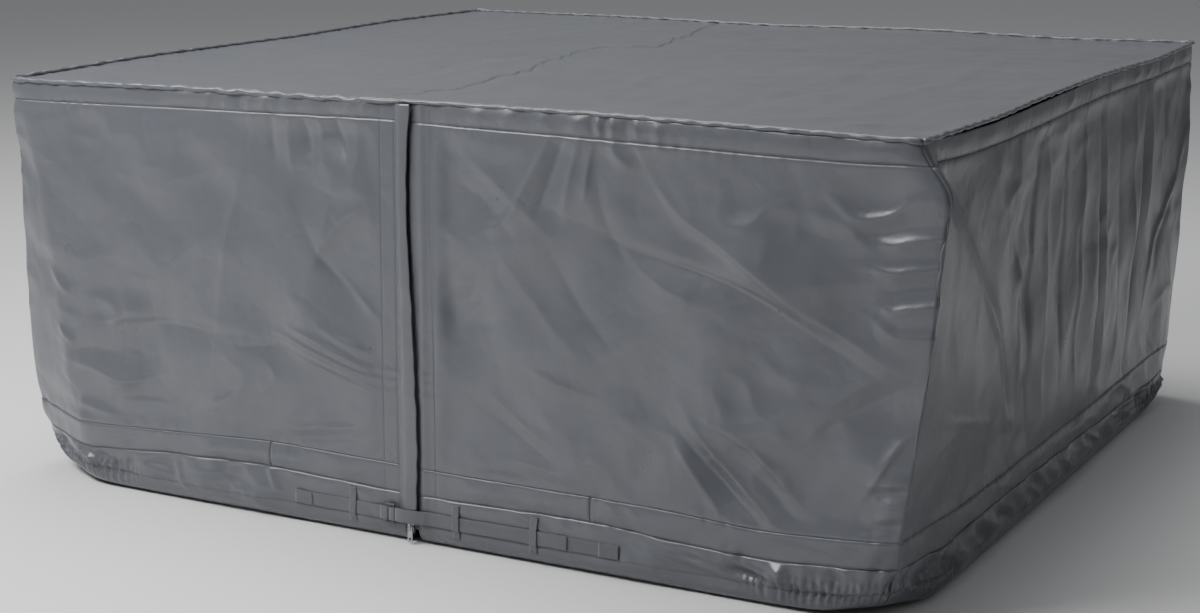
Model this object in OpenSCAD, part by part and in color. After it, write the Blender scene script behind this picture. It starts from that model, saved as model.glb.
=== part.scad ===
// Fitted cover for a square outdoor spa: a five-sided fabric box, open underneath, that is
// pulled over the tub and closed by a zip in the middle of its front. Each wall is a panel
// with a lining behind it, framed by a band above and a band below. An elasticated skirt
// turns in under the tub, and a webbing strap over the foot of the zip is drawn tight.
//
// Frame: millimetres, +Z up, the front faces -Y, and the origin is on the floor under the
// middle of the cover. "Out" is the distance in front of a wall's outer face, so a negative
// value lies behind it.

/* [Cover] */
// Width of the cover along the front, over the wall fabric
cover_w = 1800; // [1500:10:2200]
// Depth of the cover from front to back, over the wall fabric
cover_d = 1710; // [1500:10:2200]
// Height from the floor to the top of the edge welt
cover_h = 780; // [650:5:900]

/* [Fabric] */
// Thickness of the coated shell fabric with its seam allowances
shell_t = 2; // [1.5:0.1:2]
// Extra thickness of the bands, which are sewn double
band_extra = 0.6; // [0.2:0.1:0.8]
// Thickness of the thermal lining behind each wall panel
lining_t = 3; // [2:0.5:5]
// Height of the upper band, from its stitch line to the welt
upper_band_h = 32; // [24:1:60]
// Height of the lower band
lower_band_h = 50; // [30:1:70]
// Height of the seam between the lower band and the skirt
skirt_h = 90; // [86:1:120]
// Height of the skirt's turn, where it starts to run in under the tub
turn_h = 24; // [18:1:26]
// Radius of the piped welt round the top edge
welt_r = 6; // [4:0.5:8]
// Length cut off each wall at a corner of the hem, where the elastic draws the skirt in
hem_cut = 130; // [60:5:160]
// The same at the foot of the walls, above the skirt
wall_cut = 95; // [40:5:130]
// The same at the top of the walls
top_cut = 5; // [4:0.5:12]
// Reach of each corner's hem elastic, from the corner that the two walls would meet in
elastic_leg = 300; // [240:10:360]

/* [Zip] */
// Position of the zip, which is just left of the middle and hidden by the flap
zip_x = -16; // [-18:1:-14]
// Spacing of the teeth on one side of the zip
tooth_pitch = 4; // [3.8:0.1:5]
// Width of the flap, from its hinge stitch to its free edge
flap_w = 28; // [26:1:30]
// Height up to which the strap holds the flap down
flap_foot_h = 160; // [140:5:200]

/* [Strap] */
// Width of the webbing
webbing_w = 25; // [20:1:25]
// Thickness of the webbing
webbing_t = 1.4; // [1.2:0.1:1.4]
// Height of the strap's centre line
strap_z = 52; // [52:1:56]
// Position of the strap's sewn left end
strap_left = -263; // [-300:1:-220]
// Position of the strap's sewn right end
strap_right = 398; // [340:1:420]

/* [Hidden] */

// Colours
c_shell = [0.50, 0.51, 0.52];
c_band = [0.47, 0.48, 0.50];
c_lining = [0.72, 0.74, 0.77];
c_webbing = [0.33, 0.34, 0.37];
c_plastic = [0.12, 0.12, 0.13];
c_metal = [0.62, 0.63, 0.65];
c_elastic = [0.85, 0.85, 0.83];

// Half sizes, measured to the outer face of the walls
half_w = cover_w / 2;
half_d = cover_d / 2;
seam_gap = 0.2;           // left between neighbouring fabric pieces
reach = 60;               // how far a mitre cut runs past a wall's outer face
mitre_in = 300;           // how far a mitre cut runs in from it

// Heights of the seams
welt_z = cover_h - welt_r;
upper_top = cover_h - 2 * welt_r - seam_gap;
upper_seam = upper_top - upper_band_h;
lower_seam = skirt_h + lower_band_h;
top_z = cover_h - welt_r - shell_t;

// The zip's slot between the two halves of the front
slot_left = zip_x - 10;
slot_right = zip_x + 21;
corner_left = -half_w - 20;
corner_right = half_w + 20;
lining_in = wall_cut;      // how far a lining narrows at each corner, top to bottom
lining_half_w = half_w - 40;
lining_half_d = half_d - 40;
band_seam_left = -317;    // the lower band's own seams, either side of the strap
band_seam_right = 342;

// Zip
tape_t = 1;
tape_w = 24;
tape_out = -3.2;          // the tape's inner face
tooth_w = 6.5;
tooth_h = tooth_pitch * 0.425;
tooth_d = 4;
tooth_reach = 4.5;        // from the zip's centre line to a tooth's root
tooth_mid = tape_out + tape_t / 2;
teeth_z0 = 30;
teeth_z1 = cover_h - 36;
tape_z0 = turn_h + 3;

// Slider and pull tab
slider_z = 36;            // centre of the slider when the zip is closed
slider_h = 16;
slider_w = 12.8;
plate_t = 1.8;
plate_out = tooth_mid + tooth_d / 2 + 0.4;     // inner face of the front plate
back_plate_out = tooth_mid - tooth_d / 2 - 0.4;
pivot_z = 33;
pivot_out = 3.6;
pivot_r = 0.9;
tab_w = 10;
tab_t = 1.8;
tab_len = 30;             // from the pivot to the tab's lowest point
tab_hole_r = 2.4;
tab_hole_z = pivot_z - 23;

// Flap
flap_x = slot_right - 13 - flap_w;  // hinge stitch
flap_t = 2;
flap_low = band_extra + 0.4;   // the flap's inner face at the hinge
flap_high = 7;            // and over the zip
flap_top = cover_h - 16;

// Strap
strap_out = 0.4;          // the inner face of the webbing where it lies on the wall
strap_over = flap_high + flap_t + 0.6;
box_end = 38;             // length of the doubled, box-stitched ends
loop_w = 14;
loop_t = 1.2;
loop_z0 = 24;
loop_z1 = 84;
bar_r = 1.6;
bar_x = flap_x - 26;      // the buckle's hinge bar
bar_out = 6.5;
bar_gap = 7;              // spacing of the buckle's three bars
bar_clear = 0.35;
turn_end = bar_x + 2 * bar_gap + 4;
strap_climb = 6;          // where the strap starts to climb, left of the flap's stitch
strap_top = 3;            // and where it has climbed over the flap, right of it
strap_drop = 26;          // run over which it comes down again
strap_settle = 46;        // and where it lies on the skirt
buckle_h = webbing_w + 12;
rail_h = 4.5;
tail_end = 300;

// ---- Helpers ----

// Turns a piece drawn on the front to one of the other walls.
module on_wall(turn) {
    rotate([0, 0, turn]) children();
}

// A wall-mounted strip on a wall whose half length is half_len and whose outer face is at
// face from the middle. "out" runs from out0, behind, to out1, in front.
module strip(face, x0, x1, z0, z1, out0, out1) {
    translate([x0, -face - out1, z0]) cube([x1 - x0, out1 - out0, z1 - z0]);
}

// Plan of the cover: a rectangle whose outer face is moved out by out, with its corners cut
// off at 45 degrees. cut is the length taken off each wall at the outer face.
module plan(out, cut) {
    a = half_w + out;
    b = half_d + out;
    c = cut + (2 - sqrt(2)) * out;
    polygon([
        [-a + c, -b], [a - c, -b], [a, -b + c], [a, b - c],
        [a - c, b], [-a + c, b], [-a, b - c], [-a, -b + c]
    ]);
}

// A block whose plan changes evenly from one height to another: low and high are [z, out, cut].
module taper(low, high) {
    slice = 0.01;
    hull() {
        translate([0, 0, low[0]]) linear_extrude(slice) plan(low[1], low[2]);
        translate([0, 0, high[0] - slice]) linear_extrude(slice) plan(high[1], high[2]);
    }
}

// A sheet of fabric round the whole cover between two heights, t thick.
module tapered_sheet(low, high, t) {
    past = 1;
    step = past * (high - low) / (high[0] - low[0]);
    inward = [0, -t, 0];
    difference() {
        taper(low, high);
        taper(low - step + inward, high + step + inward);
    }
}

// The same where the plan stays as it is from z0 to z1, from in0 behind to out1 in front.
module upright_sheet(z0, z1, in0, out1, cut) {
    translate([0, 0, z0]) linear_extrude(z1 - z0) difference() {
        plan(out1, cut);
        plan(in0, cut);
    }
}

// Keeps one wall's share of a sheet. Neighbours meet in a mitre at 45 degrees, so the wedge
// is drawn in the wall's own frame, between x0 and x1 along it.
module wall_share(half_len, face, x0, x1) {
    intersection() {
        children();
        translate([0, 0, -10]) linear_extrude(cover_h + 20) intersection() {
            polygon([
                [-half_len - reach + seam_gap, -face - reach],
                [half_len + reach - seam_gap, -face - reach],
                [half_len - mitre_in - seam_gap, -face + mitre_in],
                [-half_len + mitre_in + seam_gap, -face + mitre_in]
            ]);
            translate([x0, -face - reach]) square([x1 - x0, reach + mitre_in]);
        }
    }
}

// The share of the front, which has the zip's slot, between x0 and x1.
module front_share(x0, x1) {
    wall_share(half_w, half_d, x0, x1) children();
}

// The share of a whole wall, by its name: 1 right, 2 back, 3 left.
module side_share(side) {
    half_len = side == 2 ? half_w : half_d;
    face = side == 2 ? half_d : half_w;
    intersection() {
        children();
        on_wall(90 * side) wall_share(half_len, face, -half_len - reach, half_len + reach)
            translate([-half_len - reach, -face - reach, -10])
                cube([2 * (half_len + reach), reach + mitre_in, cover_h + 20]);
    }
}

// A flat band that follows a path of [x, out] points along the front, webbing_t thick.
module webbing_path(points) {
    translate([0, 0, strap_z - webbing_w / 2]) linear_extrude(webbing_w) polygon([
        for (p = points) [p[0], -half_d - p[1]],
        for (i = [len(points) - 1:-1:0]) [points[i][0], -half_d - points[i][1] - webbing_t]
    ]);
}

// ---- Top ----

module top_panel(side) {
    inner = half_w - welt_r - seam_gap;
    depth = half_d - welt_r - seam_gap;
    x0 = side < 0 ? -inner : seam_gap / 2;
    color(c_shell) translate([x0, -depth, top_z]) cube([inner - seam_gap / 2, 2 * depth, shell_t]);
}

// Tape sewn under the seam that joins the two top panels
module top_seam_tape() {
    tape_half = 15;
    depth = half_d - 30;
    color(c_band) translate([-tape_half, -depth, top_z - seam_gap - tape_t])
        cube([2 * tape_half, 2 * depth, tape_t]);
}

// Piped welt: the rolled seam round the top edge
module edge_welt(half_len, face) {
    past = 20;
    color(c_band) wall_share(half_len, face, -half_len - past, half_len + past)
        translate([-half_len - past, -face, welt_z])
            rotate([0, 90, 0]) cylinder(r = welt_r, h = 2 * (half_len + past), $fn = 48);
}

// ---- Walls ----

module upper_band() {
    color(c_band) upright_sheet(upper_seam, upper_top, -shell_t, band_extra, top_cut);
}

// The walls start square under the upper band, and their corners round off a little downwards.
module wall_panel() {
    color(c_shell) tapered_sheet(
        [lower_seam + seam_gap, 0, wall_cut],
        [upper_seam - seam_gap, 0, top_cut],
        shell_t
    );
}

// Lining: a thin padded sheet that the frame of stitches holds behind a wall panel. It
// narrows downwards as the flat of the wall does, from the corners' side only.
module lining(face, x0, x1, narrow0, narrow1) {
    back = shell_t + seam_gap;
    low = lower_seam + 4;
    high = upper_seam - 4;
    color(c_lining) translate([0, -face + back, 0]) rotate([90, 0, 0])
        translate([0, 0, -lining_t]) linear_extrude(lining_t) polygon([
            [x0 + narrow0, low],
            [x1 - narrow1, low],
            [x1, high],
            [x0, high]
        ]);
}

module lower_band() {
    color(c_band)
        upright_sheet(skirt_h + seam_gap, lower_seam, -shell_t, band_extra, wall_cut);
}

// ---- Skirt and hem ----

// The skirt drops from the lower band while its corners draw in, then turns in under the tub
// down to the floor.
module skirt() {
    run_in = turn_h - shell_t;
    color(c_shell) {
        tapered_sheet([turn_h - 0.01, 0, hem_cut], [skirt_h, 0, wall_cut], shell_t);
        tapered_sheet([0, -run_in, hem_cut], [turn_h, 0, hem_cut], shell_t);
    }
}

// Flat elastic in the hem at one corner: it follows the inside of the skirt round the cut
module hem_elastic(flip_x, flip_y) {
    out_face = -shell_t - 1.2;
    tape = 1.6;
    tape_h = 12;
    mirror([flip_x, 0, 0]) mirror([0, flip_y, 0]) color(c_elastic) intersection() {
        upright_sheet(turn_h + 3, turn_h + 3 + tape_h, out_face - tape, out_face, hem_cut);
        translate([-half_w, -half_d, 0]) cube([elastic_leg, elastic_leg, turn_h + 20]);
    }
}

// ---- Zip ----

module zip_tape(side) {
    edge = tooth_reach + 0.1;
    x0 = side < 0 ? zip_x - edge - tape_w : zip_x + edge;
    color(c_webbing)
        strip(half_d, x0, x0 + tape_w, tape_z0, cover_h - 16, tape_out, tape_out + tape_t);
}

// Moulded teeth: the two sides stand in each other's gaps
module zip_teeth(side) {
    count = floor((teeth_z1 - teeth_z0) / tooth_pitch);
    start = side < 0 ? teeth_z0 : teeth_z0 + tooth_pitch / 2;
    x0 = side < 0 ? zip_x - tooth_reach : zip_x + tooth_reach - tooth_w;
    color(c_plastic) for (i = [0:count - 1]) {
        z0 = start + i * tooth_pitch;
        strip(half_d, x0, x0 + tooth_w, z0, z0 + tooth_h,
            tooth_mid - tooth_d / 2, tooth_mid + tooth_d / 2);
    }
}

module zip_top_stop() {
    stop_z = teeth_z1 + tooth_pitch;
    color(c_metal) strip(half_d, zip_x - 4, zip_x + 4, stop_z, stop_z + 6,
        tooth_mid + tape_t / 2 + 0.1, tooth_mid + tooth_d / 2);
}

// Pin and box that the open end of the zip is started in
module zip_end_stop() {
    color(c_metal) strip(half_d, zip_x - 6, zip_x + 6, turn_h - 4, turn_h + 2.8,
        tooth_mid - tooth_d / 2, tooth_mid + tooth_d / 2 - 0.3);
}

// Two plates with side lips that run over the teeth, and a bridge that holds the pull tab
module zip_slider() {
    lip = 1.2;
    z0 = slider_z - slider_h / 2;
    z1 = slider_z + slider_h / 2;
    x0 = zip_x - slider_w / 2;
    x1 = zip_x + slider_w / 2;
    front_lip = tape_out + tape_t + 0.4;
    back_lip = tape_out - 0.4;
    leg = 1.4;
    bridge_h = 6;
    bridge_in = pivot_out + pivot_r + 0.3;
    color(c_metal) {
        strip(half_d, x0, x1, z0, z1, plate_out, plate_out + plate_t);
        for (x = [x0, x1 - lip])
            strip(half_d, x, x + lip, z0, z1, front_lip, plate_out + 0.1);
        strip(half_d, x0, x1, z0, z1, back_plate_out - plate_t, back_plate_out);
        for (x = [x0, x1 - lip])
            strip(half_d, x, x + lip, z0, z1, back_plate_out - 0.1, back_lip);
        // the bridge: two feet above and below the tab's bar, and a roof over it
        for (z = [pivot_z - bridge_h / 2 - leg, pivot_z + bridge_h / 2])
            strip(half_d, zip_x - 1.2, zip_x + 1.2, z, z + leg, plate_out + plate_t - 0.1, bridge_in);
        strip(half_d, zip_x - 1.2, zip_x + 1.2, pivot_z - bridge_h / 2 - leg,
            pivot_z + bridge_h / 2 + leg, bridge_in - 0.01, bridge_in + 0.9);
    }
}

// Pull tab: an eye whose bar turns under the bridge, and a flat tongue with a hole
module zip_pull_tab() {
    arm = 2.2;
    eye_len = 9;
    body_top = pivot_z - eye_len;
    low_r = tab_w / 2;
    color(c_plastic) {
        // bar
        translate([zip_x - tab_w / 2, -half_d - pivot_out, pivot_z]) rotate([0, 90, 0])
            cylinder(r = pivot_r, h = tab_w, $fn = 32);
        // arms of the eye
        for (x = [zip_x - tab_w / 2, zip_x + tab_w / 2 - arm])
            strip(half_d, x, x + arm, body_top - 0.1, pivot_z,
                pivot_out - pivot_r, pivot_out + pivot_r);
        // tongue with a round end and a hole
        translate([zip_x, -half_d - pivot_out + tab_t / 2, 0]) rotate([90, 0, 0]) difference() {
            union() {
                translate([-tab_w / 2, pivot_z - tab_len + low_r, 0])
                    cube([tab_w, tab_len - eye_len - low_r, tab_t]);
                translate([0, pivot_z - tab_len + low_r, 0]) cylinder(r = low_r, h = tab_t, $fn = 48);
            }
            translate([0, tab_hole_z, -1]) cylinder(r = tab_hole_r, h = tab_t + 2, $fn = 32);
        }
    }
}

// The flap rises from its rolled hinge edge and lies over the zip, between two heights.
module flap_run(z0, z1) {
    rise = 9;
    fold = 2.6;
    bite = 0.4;            // run of the flat flap inside its rolled edge
    color(c_shell) translate([flap_x, -half_d, z0]) union() {
        translate([0, -flap_low - flap_t / 2]) cylinder(r = flap_t / 2, h = z1 - z0, $fn = 32);
        linear_extrude(z1 - z0) polygon([
            [-bite, -flap_low - flap_t / 10],
            [0, -flap_low],
            [rise, -flap_high],
            [flap_w - fold, -flap_high],
            [flap_w, -flap_high + 0.6],
            [flap_w, -flap_high - flap_t - 0.2],
            [flap_w - fold, -flap_high - flap_t],
            [rise - 1, -flap_high - flap_t],
            [0, -flap_low - flap_t],
            [-bite, -flap_low - flap_t * 0.9]
        ]);
    }
}

module zip_flap() {
    flap_run(flap_foot_h + 2, flap_top);
}

// The flap's foot, which the strap holds down over the zip
module zip_flap_foot() {
    flap_run(strap_z - webbing_w / 2 + 1, flap_foot_h);
}

// ---- Strap, buckle and loops ----

// Left strap: box-stitched at its end, and looped round the buckle's hinge bar
module anchor_strap() {
    loop_in = bar_r + bar_clear;
    loop_out = loop_in + webbing_t;
    low = bar_out - loop_out;      // inner face of the strap where it leaves the loop
    z0 = strap_z - webbing_w / 2;
    color(c_webbing) {
        webbing_path([
            [strap_left, strap_out],
            [bar_x - 34, strap_out],
            [bar_x - 12, low],
            [bar_x, low]
        ]);
        // doubled end
        strip(half_d, strap_left, strap_left + box_end, z0, z0 + webbing_w,
            strap_out + webbing_t - 0.05, strap_out + 2 * webbing_t);
        // round the bar and back on itself
        translate([bar_x, -half_d - bar_out, z0]) difference() {
            cylinder(r = loop_out, h = webbing_w, $fn = 48);
            translate([0, 0, -1]) cylinder(r = loop_in, h = webbing_w + 2, $fn = 48);
            translate([-2 * loop_out, -loop_in, -1])
                cube([2 * loop_out, 2 * loop_in, webbing_w + 2]);
        }
        strip(half_d, bar_x - 12, bar_x, z0, z0 + webbing_w,
            bar_out + loop_in, bar_out + loop_out);
        // the returned end, sewn down
        strip(half_d, bar_x - 16, bar_x - 11, z0, z0 + webbing_w, bar_out - 2, bar_out + loop_out);
    }
}

// Right strap: box-stitched at its end, then under two loops and over the flap
module long_strap() {
    start = turn_end + 0.8;
    z0 = strap_z - webbing_w / 2;
    color(c_webbing) {
        webbing_path([
            [start, bar_out - bar_r - bar_clear - webbing_t],
            [flap_x - strap_climb, bar_out - bar_r - bar_clear - webbing_t],
            [flap_x + strap_top, strap_over],
            [flap_x + flap_w + 4, strap_over],
            [flap_x + flap_w + 4 + strap_drop, strap_out + 1],
            [flap_x + flap_w + 4 + strap_settle, strap_out],
            [strap_right, strap_out]
        ]);
        strip(half_d, strap_right - box_end, strap_right, z0, z0 + webbing_w,
            strap_out + webbing_t - 0.05, strap_out + 2 * webbing_t);
    }
}

// The stretch of webbing that turns round the buckle's middle bar
module strap_turn() {
    turn_in = bar_r + bar_clear;
    turn_out = turn_in + webbing_t;
    mid_x = bar_x + bar_gap;
    z0 = strap_z - webbing_w / 2;
    color(c_webbing) {
        translate([mid_x, -half_d - bar_out, z0]) difference() {
            cylinder(r = turn_out, h = webbing_w, $fn = 48);
            translate([0, 0, -1]) cylinder(r = turn_in, h = webbing_w + 2, $fn = 48);
            translate([0, -turn_in, -1]) cube([2 * turn_out, 2 * turn_in, webbing_w + 2]);
        }
        strip(half_d, mid_x, turn_end, z0, z0 + webbing_w, bar_out - turn_out, bar_out - turn_in);
        strip(half_d, mid_x, turn_end, z0, z0 + webbing_w, bar_out + turn_in, bar_out + turn_out);
    }
}

// The free end, laid back over the right strap and held by two loops
module strap_tail() {
    start = turn_end + 0.8;
    lift = webbing_t + 0.2;
    over_x = flap_x + flap_w + 4.5;
    color(c_webbing) webbing_path([
        [start, bar_out + bar_r + bar_clear],
        [flap_x - strap_climb + 1, bar_out + bar_r + bar_clear],
        [flap_x + strap_top, strap_over + lift],
        [over_x, strap_over + lift],
        [over_x + strap_drop, strap_out + 1 + lift],
        [over_x + strap_settle, strap_out + lift],
        [tail_end, strap_out + lift]
    ]);
}

// Three-bar slide: two rails joined by round bars
module ladder_buckle() {
    rail_d = 2 * bar_r + 0.4;
    z0 = strap_z - buckle_h / 2;
    color(c_plastic) {
        for (i = [0:2]) translate([bar_x + i * bar_gap, -half_d - bar_out, z0 + 0.5])
            cylinder(r = bar_r, h = buckle_h - 1, $fn = 40);
        for (z = [z0, z0 + buckle_h - rail_h])
            strip(half_d, bar_x - bar_r - 1, bar_x + 2 * bar_gap + bar_r + 1, z, z + rail_h,
                bar_out - rail_d / 2, bar_out + rail_d / 2);
    }
}

// A belt loop sewn to the skirt above and below the strap, high enough for some layers
module belt_loop(x, layers) {
    inner = strap_out + layers * (webbing_t + 0.2) + 0.1;
    z_low = strap_z - webbing_w / 2 - 1;
    z_high = strap_z + webbing_w / 2 + 1;
    color(c_webbing) translate([x + loop_w / 2, -half_d, 0]) rotate([90, 0, -90])
        linear_extrude(loop_w) polygon([
            [0.1, loop_z0],
            [0.1 + loop_t, loop_z0],
            [0.1 + loop_t, z_low - 3],
            [inner + loop_t, z_low],
            [inner + loop_t, z_high],
            [band_extra + 0.1 + loop_t, z_high + 4],
            [0.1 + loop_t, loop_z1],
            [0.1, loop_z1],
            [0.1, z_high + 3],
            [inner, z_high - 0.5],
            [inner, z_low + 0.5],
            [0.1, z_low - 2]
        ]);
}

// ---- Nodes ----

top_panel(-1);  // top_panel_left
top_panel(1);  // top_panel_right
top_seam_tape();
edge_welt(half_w, half_d);  // edge_welt_front
on_wall(90) edge_welt(half_d, half_w);  // edge_welt_right
on_wall(180) edge_welt(half_w, half_d);  // edge_welt_back
on_wall(270) edge_welt(half_d, half_w);  // edge_welt_left
front_share(corner_left, slot_left) upper_band();  // upper_band_front_left
front_share(slot_right, corner_right) upper_band();  // upper_band_front_right
side_share(1) upper_band();  // upper_band_right
side_share(2) upper_band();  // upper_band_back
side_share(3) upper_band();  // upper_band_left
front_share(corner_left, slot_left) wall_panel();  // wall_front_left
front_share(slot_right, corner_right) wall_panel();  // wall_front_right
side_share(1) wall_panel();  // wall_right
side_share(2) wall_panel();  // wall_back
side_share(3) wall_panel();  // wall_left
lining(half_d, -lining_half_w, slot_left - 40, lining_in, 0);  // lining_front_left
lining(half_d, slot_right + 33, lining_half_w, 0, lining_in);  // lining_front_right
on_wall(90) lining(half_w, -lining_half_d, lining_half_d, lining_in, lining_in);  // lining_right
on_wall(180) lining(half_d, -lining_half_w, lining_half_w, lining_in, lining_in);  // lining_back
on_wall(270) lining(half_w, -lining_half_d, lining_half_d, lining_in, lining_in);  // lining_left
front_share(corner_left, band_seam_left - seam_gap) lower_band();  // lower_band_front_left_outer
front_share(band_seam_left, slot_left) lower_band();  // lower_band_front_left_inner
front_share(slot_right, band_seam_right) lower_band();  // lower_band_front_right_inner
front_share(band_seam_right + seam_gap, corner_right) lower_band();  // lower_band_front_right_outer
side_share(1) lower_band();  // lower_band_right
side_share(2) lower_band();  // lower_band_back
side_share(3) lower_band();  // lower_band_left
front_share(corner_left, slot_left) skirt();  // skirt_front_left
front_share(slot_right, corner_right) skirt();  // skirt_front_right
side_share(1) skirt();  // skirt_right
side_share(2) skirt();  // skirt_back
side_share(3) skirt();  // skirt_left
hem_elastic(0, 0);  // hem_elastic_front_left
hem_elastic(1, 0);  // hem_elastic_front_right
hem_elastic(0, 1);  // hem_elastic_back_left
hem_elastic(1, 1);  // hem_elastic_back_right
zip_tape(-1);  // zip_tape_left
zip_tape(1);  // zip_tape_right
zip_teeth(-1);  // zip_teeth_left
zip_teeth(1);  // zip_teeth_right
zip_top_stop();
zip_end_stop();
zip_slider();
zip_pull_tab();
zip_flap();
zip_flap_foot();
anchor_strap();
long_strap();
strap_turn();
strap_tail();
ladder_buckle();
belt_loop(-137, 1);  // belt_loop_left
belt_loop(79, 2);  // belt_loop_middle
belt_loop(234, 2);  // belt_loop_right
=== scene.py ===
import math

import bmesh
import bpy
import numpy as np
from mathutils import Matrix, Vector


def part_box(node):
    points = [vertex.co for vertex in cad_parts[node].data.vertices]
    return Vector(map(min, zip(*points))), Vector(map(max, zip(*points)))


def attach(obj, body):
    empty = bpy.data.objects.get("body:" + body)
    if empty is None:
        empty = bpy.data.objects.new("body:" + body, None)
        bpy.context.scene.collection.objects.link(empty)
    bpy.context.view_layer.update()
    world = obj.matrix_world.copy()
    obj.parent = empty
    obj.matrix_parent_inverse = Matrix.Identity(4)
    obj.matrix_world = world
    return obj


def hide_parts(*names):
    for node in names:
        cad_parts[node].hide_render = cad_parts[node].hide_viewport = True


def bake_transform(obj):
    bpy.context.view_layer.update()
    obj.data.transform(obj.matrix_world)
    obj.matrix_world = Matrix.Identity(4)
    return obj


# Spa cover: the looks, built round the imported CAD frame. Lengths are in metres, +Z up, and
# the front faces -Y. A place on the cover's wall is (s, v): s runs round the cover from the
# middle of the front to the right, and v is the height that the cloth was cut to hang at.

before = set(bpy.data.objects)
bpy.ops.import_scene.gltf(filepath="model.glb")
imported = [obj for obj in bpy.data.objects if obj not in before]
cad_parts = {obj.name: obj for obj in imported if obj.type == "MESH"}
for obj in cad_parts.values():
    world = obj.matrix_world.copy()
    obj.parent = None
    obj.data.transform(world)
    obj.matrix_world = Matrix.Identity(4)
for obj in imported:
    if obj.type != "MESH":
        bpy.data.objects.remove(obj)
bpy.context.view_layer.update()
MM = 0.001


# ---- Camera, floor and light ----

def make_camera():
    data = bpy.data.cameras.new("camera")
    data.sensor_width = 36
    data.lens = 66.3
    data.shift_x = 0.05
    data.shift_y = 0.0155
    camera = bpy.data.objects.new("camera", data)
    camera.location = (2.008, -3.999, 1.247)
    down, turned = math.radians(12.83), math.radians(29.28)
    camera.rotation_euler = (math.pi / 2 - down, 0, turned)
    bpy.context.scene.collection.objects.link(camera)
    bpy.context.scene.camera = camera


def aim(obj, target):
    x, y, z = (t - p for t, p in zip(target, obj.location))
    obj.rotation_euler = (math.atan2(math.hypot(x, y), -z), 0, math.atan2(y, x) - math.pi / 2)


def add_softbox(name, place, target, size, power):
    data = bpy.data.lights.new(name, "AREA")
    data.shape = "RECTANGLE"
    data.size, data.size_y = size
    data.energy = power
    light = bpy.data.objects.new(name, data)
    light.location = place
    aim(light, target)
    bpy.context.scene.collection.objects.link(light)


# Name, place, what it points at, size and power
SOFTBOXES = (
    ("key_softbox", (-3.0, -3.2, 3.8), (-0.5, -0.8, 0.6), (2.6, 1.6), 105),
    ("near_softbox", (-1.0, -2.2, 2.2), (-0.4, -0.85, 0.75), (1.8, 0.8), 58),
    ("top_softbox", (-0.9, 0.4, 4.4), (-0.5, 0, 0.4), (2.6, 3.6), 155),
    ("side_softbox", (5.5, 0.5, 2.2), (0, 0, 0.4), (2.5, 2.5), 4),
)
FLOOR_HALF = 30
FLOOR_Z = -0.5 * MM


def make_studio():
    world = bpy.data.worlds.new("studio")
    world.use_nodes = True
    background = world.node_tree.nodes["Background"]
    background.inputs["Color"].default_value = (0.95, 0.97, 1.0, 1)
    background.inputs["Strength"].default_value = 0.22
    bpy.context.scene.world = world
    for softbox in SOFTBOXES:
        add_softbox(*softbox)
    paint = Nodes("pale_floor")
    paint.shader.inputs["Base Color"].default_value = (0.74, 0.74, 0.74, 1)
    paint.shader.inputs["Roughness"].default_value = 0.9
    square = ((-1, -1), (1, -1), (1, 1), (-1, 1))
    corners = [(x * FLOOR_HALF, y * FLOOR_HALF, FLOOR_Z) for x, y in square]
    make_object("floor", corners, [(0, 1, 2, 3)], paint.material, smooth=False)


# ---- Materials ----

class Nodes:
    """A short way to build a procedural material: each method adds a node and returns it."""

    def __init__(self, name):
        self.material = bpy.data.materials.new(name)
        self.material.use_nodes = True
        self.tree = self.material.node_tree
        self.shader = self.tree.nodes["Principled BSDF"]

    def add(self, kind, **settings):
        node = self.tree.nodes.new(kind)
        for key, value in settings.items():
            setattr(node, key, value)
        return node

    def link(self, output, socket):
        self.tree.links.new(output, socket)

    def place(self, flat):
        """Object coordinates, or the cloth's own flat coordinates in metres."""
        if flat:
            return self.add("ShaderNodeUVMap", uv_map="cloth").outputs["UV"]
        return self.add("ShaderNodeTexCoord").outputs["Object"]

    def noise(self, coordinates, scale, detail=3.0, roughness=0.5):
        node = self.add("ShaderNodeTexNoise")
        node.inputs["Scale"].default_value = scale
        node.inputs["Detail"].default_value = detail
        node.inputs["Roughness"].default_value = roughness
        self.link(coordinates, node.inputs["Vector"])
        return node.outputs["Fac"]

    def wave(self, coordinates, period, direction, distortion=0.0):
        """Ribs across a direction, one every period metres."""
        node = self.add("ShaderNodeTexWave", wave_type="BANDS", bands_direction=direction)
        node.inputs["Scale"].default_value = 2 * math.pi / (20 * period)
        node.inputs["Distortion"].default_value = distortion
        node.inputs["Detail"].default_value = 1.0
        self.link(coordinates, node.inputs["Vector"])
        return node.outputs["Fac"]

    def spread(self, value, low, high):
        node = self.add("ShaderNodeMapRange")
        node.inputs["To Min"].default_value = low
        node.inputs["To Max"].default_value = high
        self.link(value, node.inputs["Value"])
        return node.outputs["Result"]

    def combine(self, first, second, operation="ADD"):
        node = self.add("ShaderNodeMath", operation=operation)
        for value, socket in zip((first, second), node.inputs):
            if isinstance(value, float):
                socket.default_value = value
            else:
                self.link(value, socket)
        return node.outputs[0]

    def bump(self, height, distance, strength=1.0, under=None):
        node = self.add("ShaderNodeBump")
        node.inputs["Distance"].default_value = distance
        node.inputs["Strength"].default_value = strength
        self.link(height, node.inputs["Height"])
        if under is not None:
            self.link(under, node.inputs["Normal"])
        return node.outputs["Normal"]

    def colour(self, value, first, second):
        """The surface's colour, from the first at 0 to the second at 1."""
        node = self.add("ShaderNodeMix", data_type="RGBA")
        node.inputs[6].default_value = (*first, 1)
        node.inputs[7].default_value = (*second, 1)
        self.link(value, node.inputs[0])
        self.link(node.outputs[2], self.shader.inputs["Base Color"])

    def roughness(self, value, low, high):
        self.link(self.spread(value, low, high), self.shader.inputs["Roughness"])

    def normal(self, bumped):
        self.link(bumped, self.shader.inputs["Normal"])

    def set(self, name, value):
        self.shader.inputs[name].default_value = value


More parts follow.
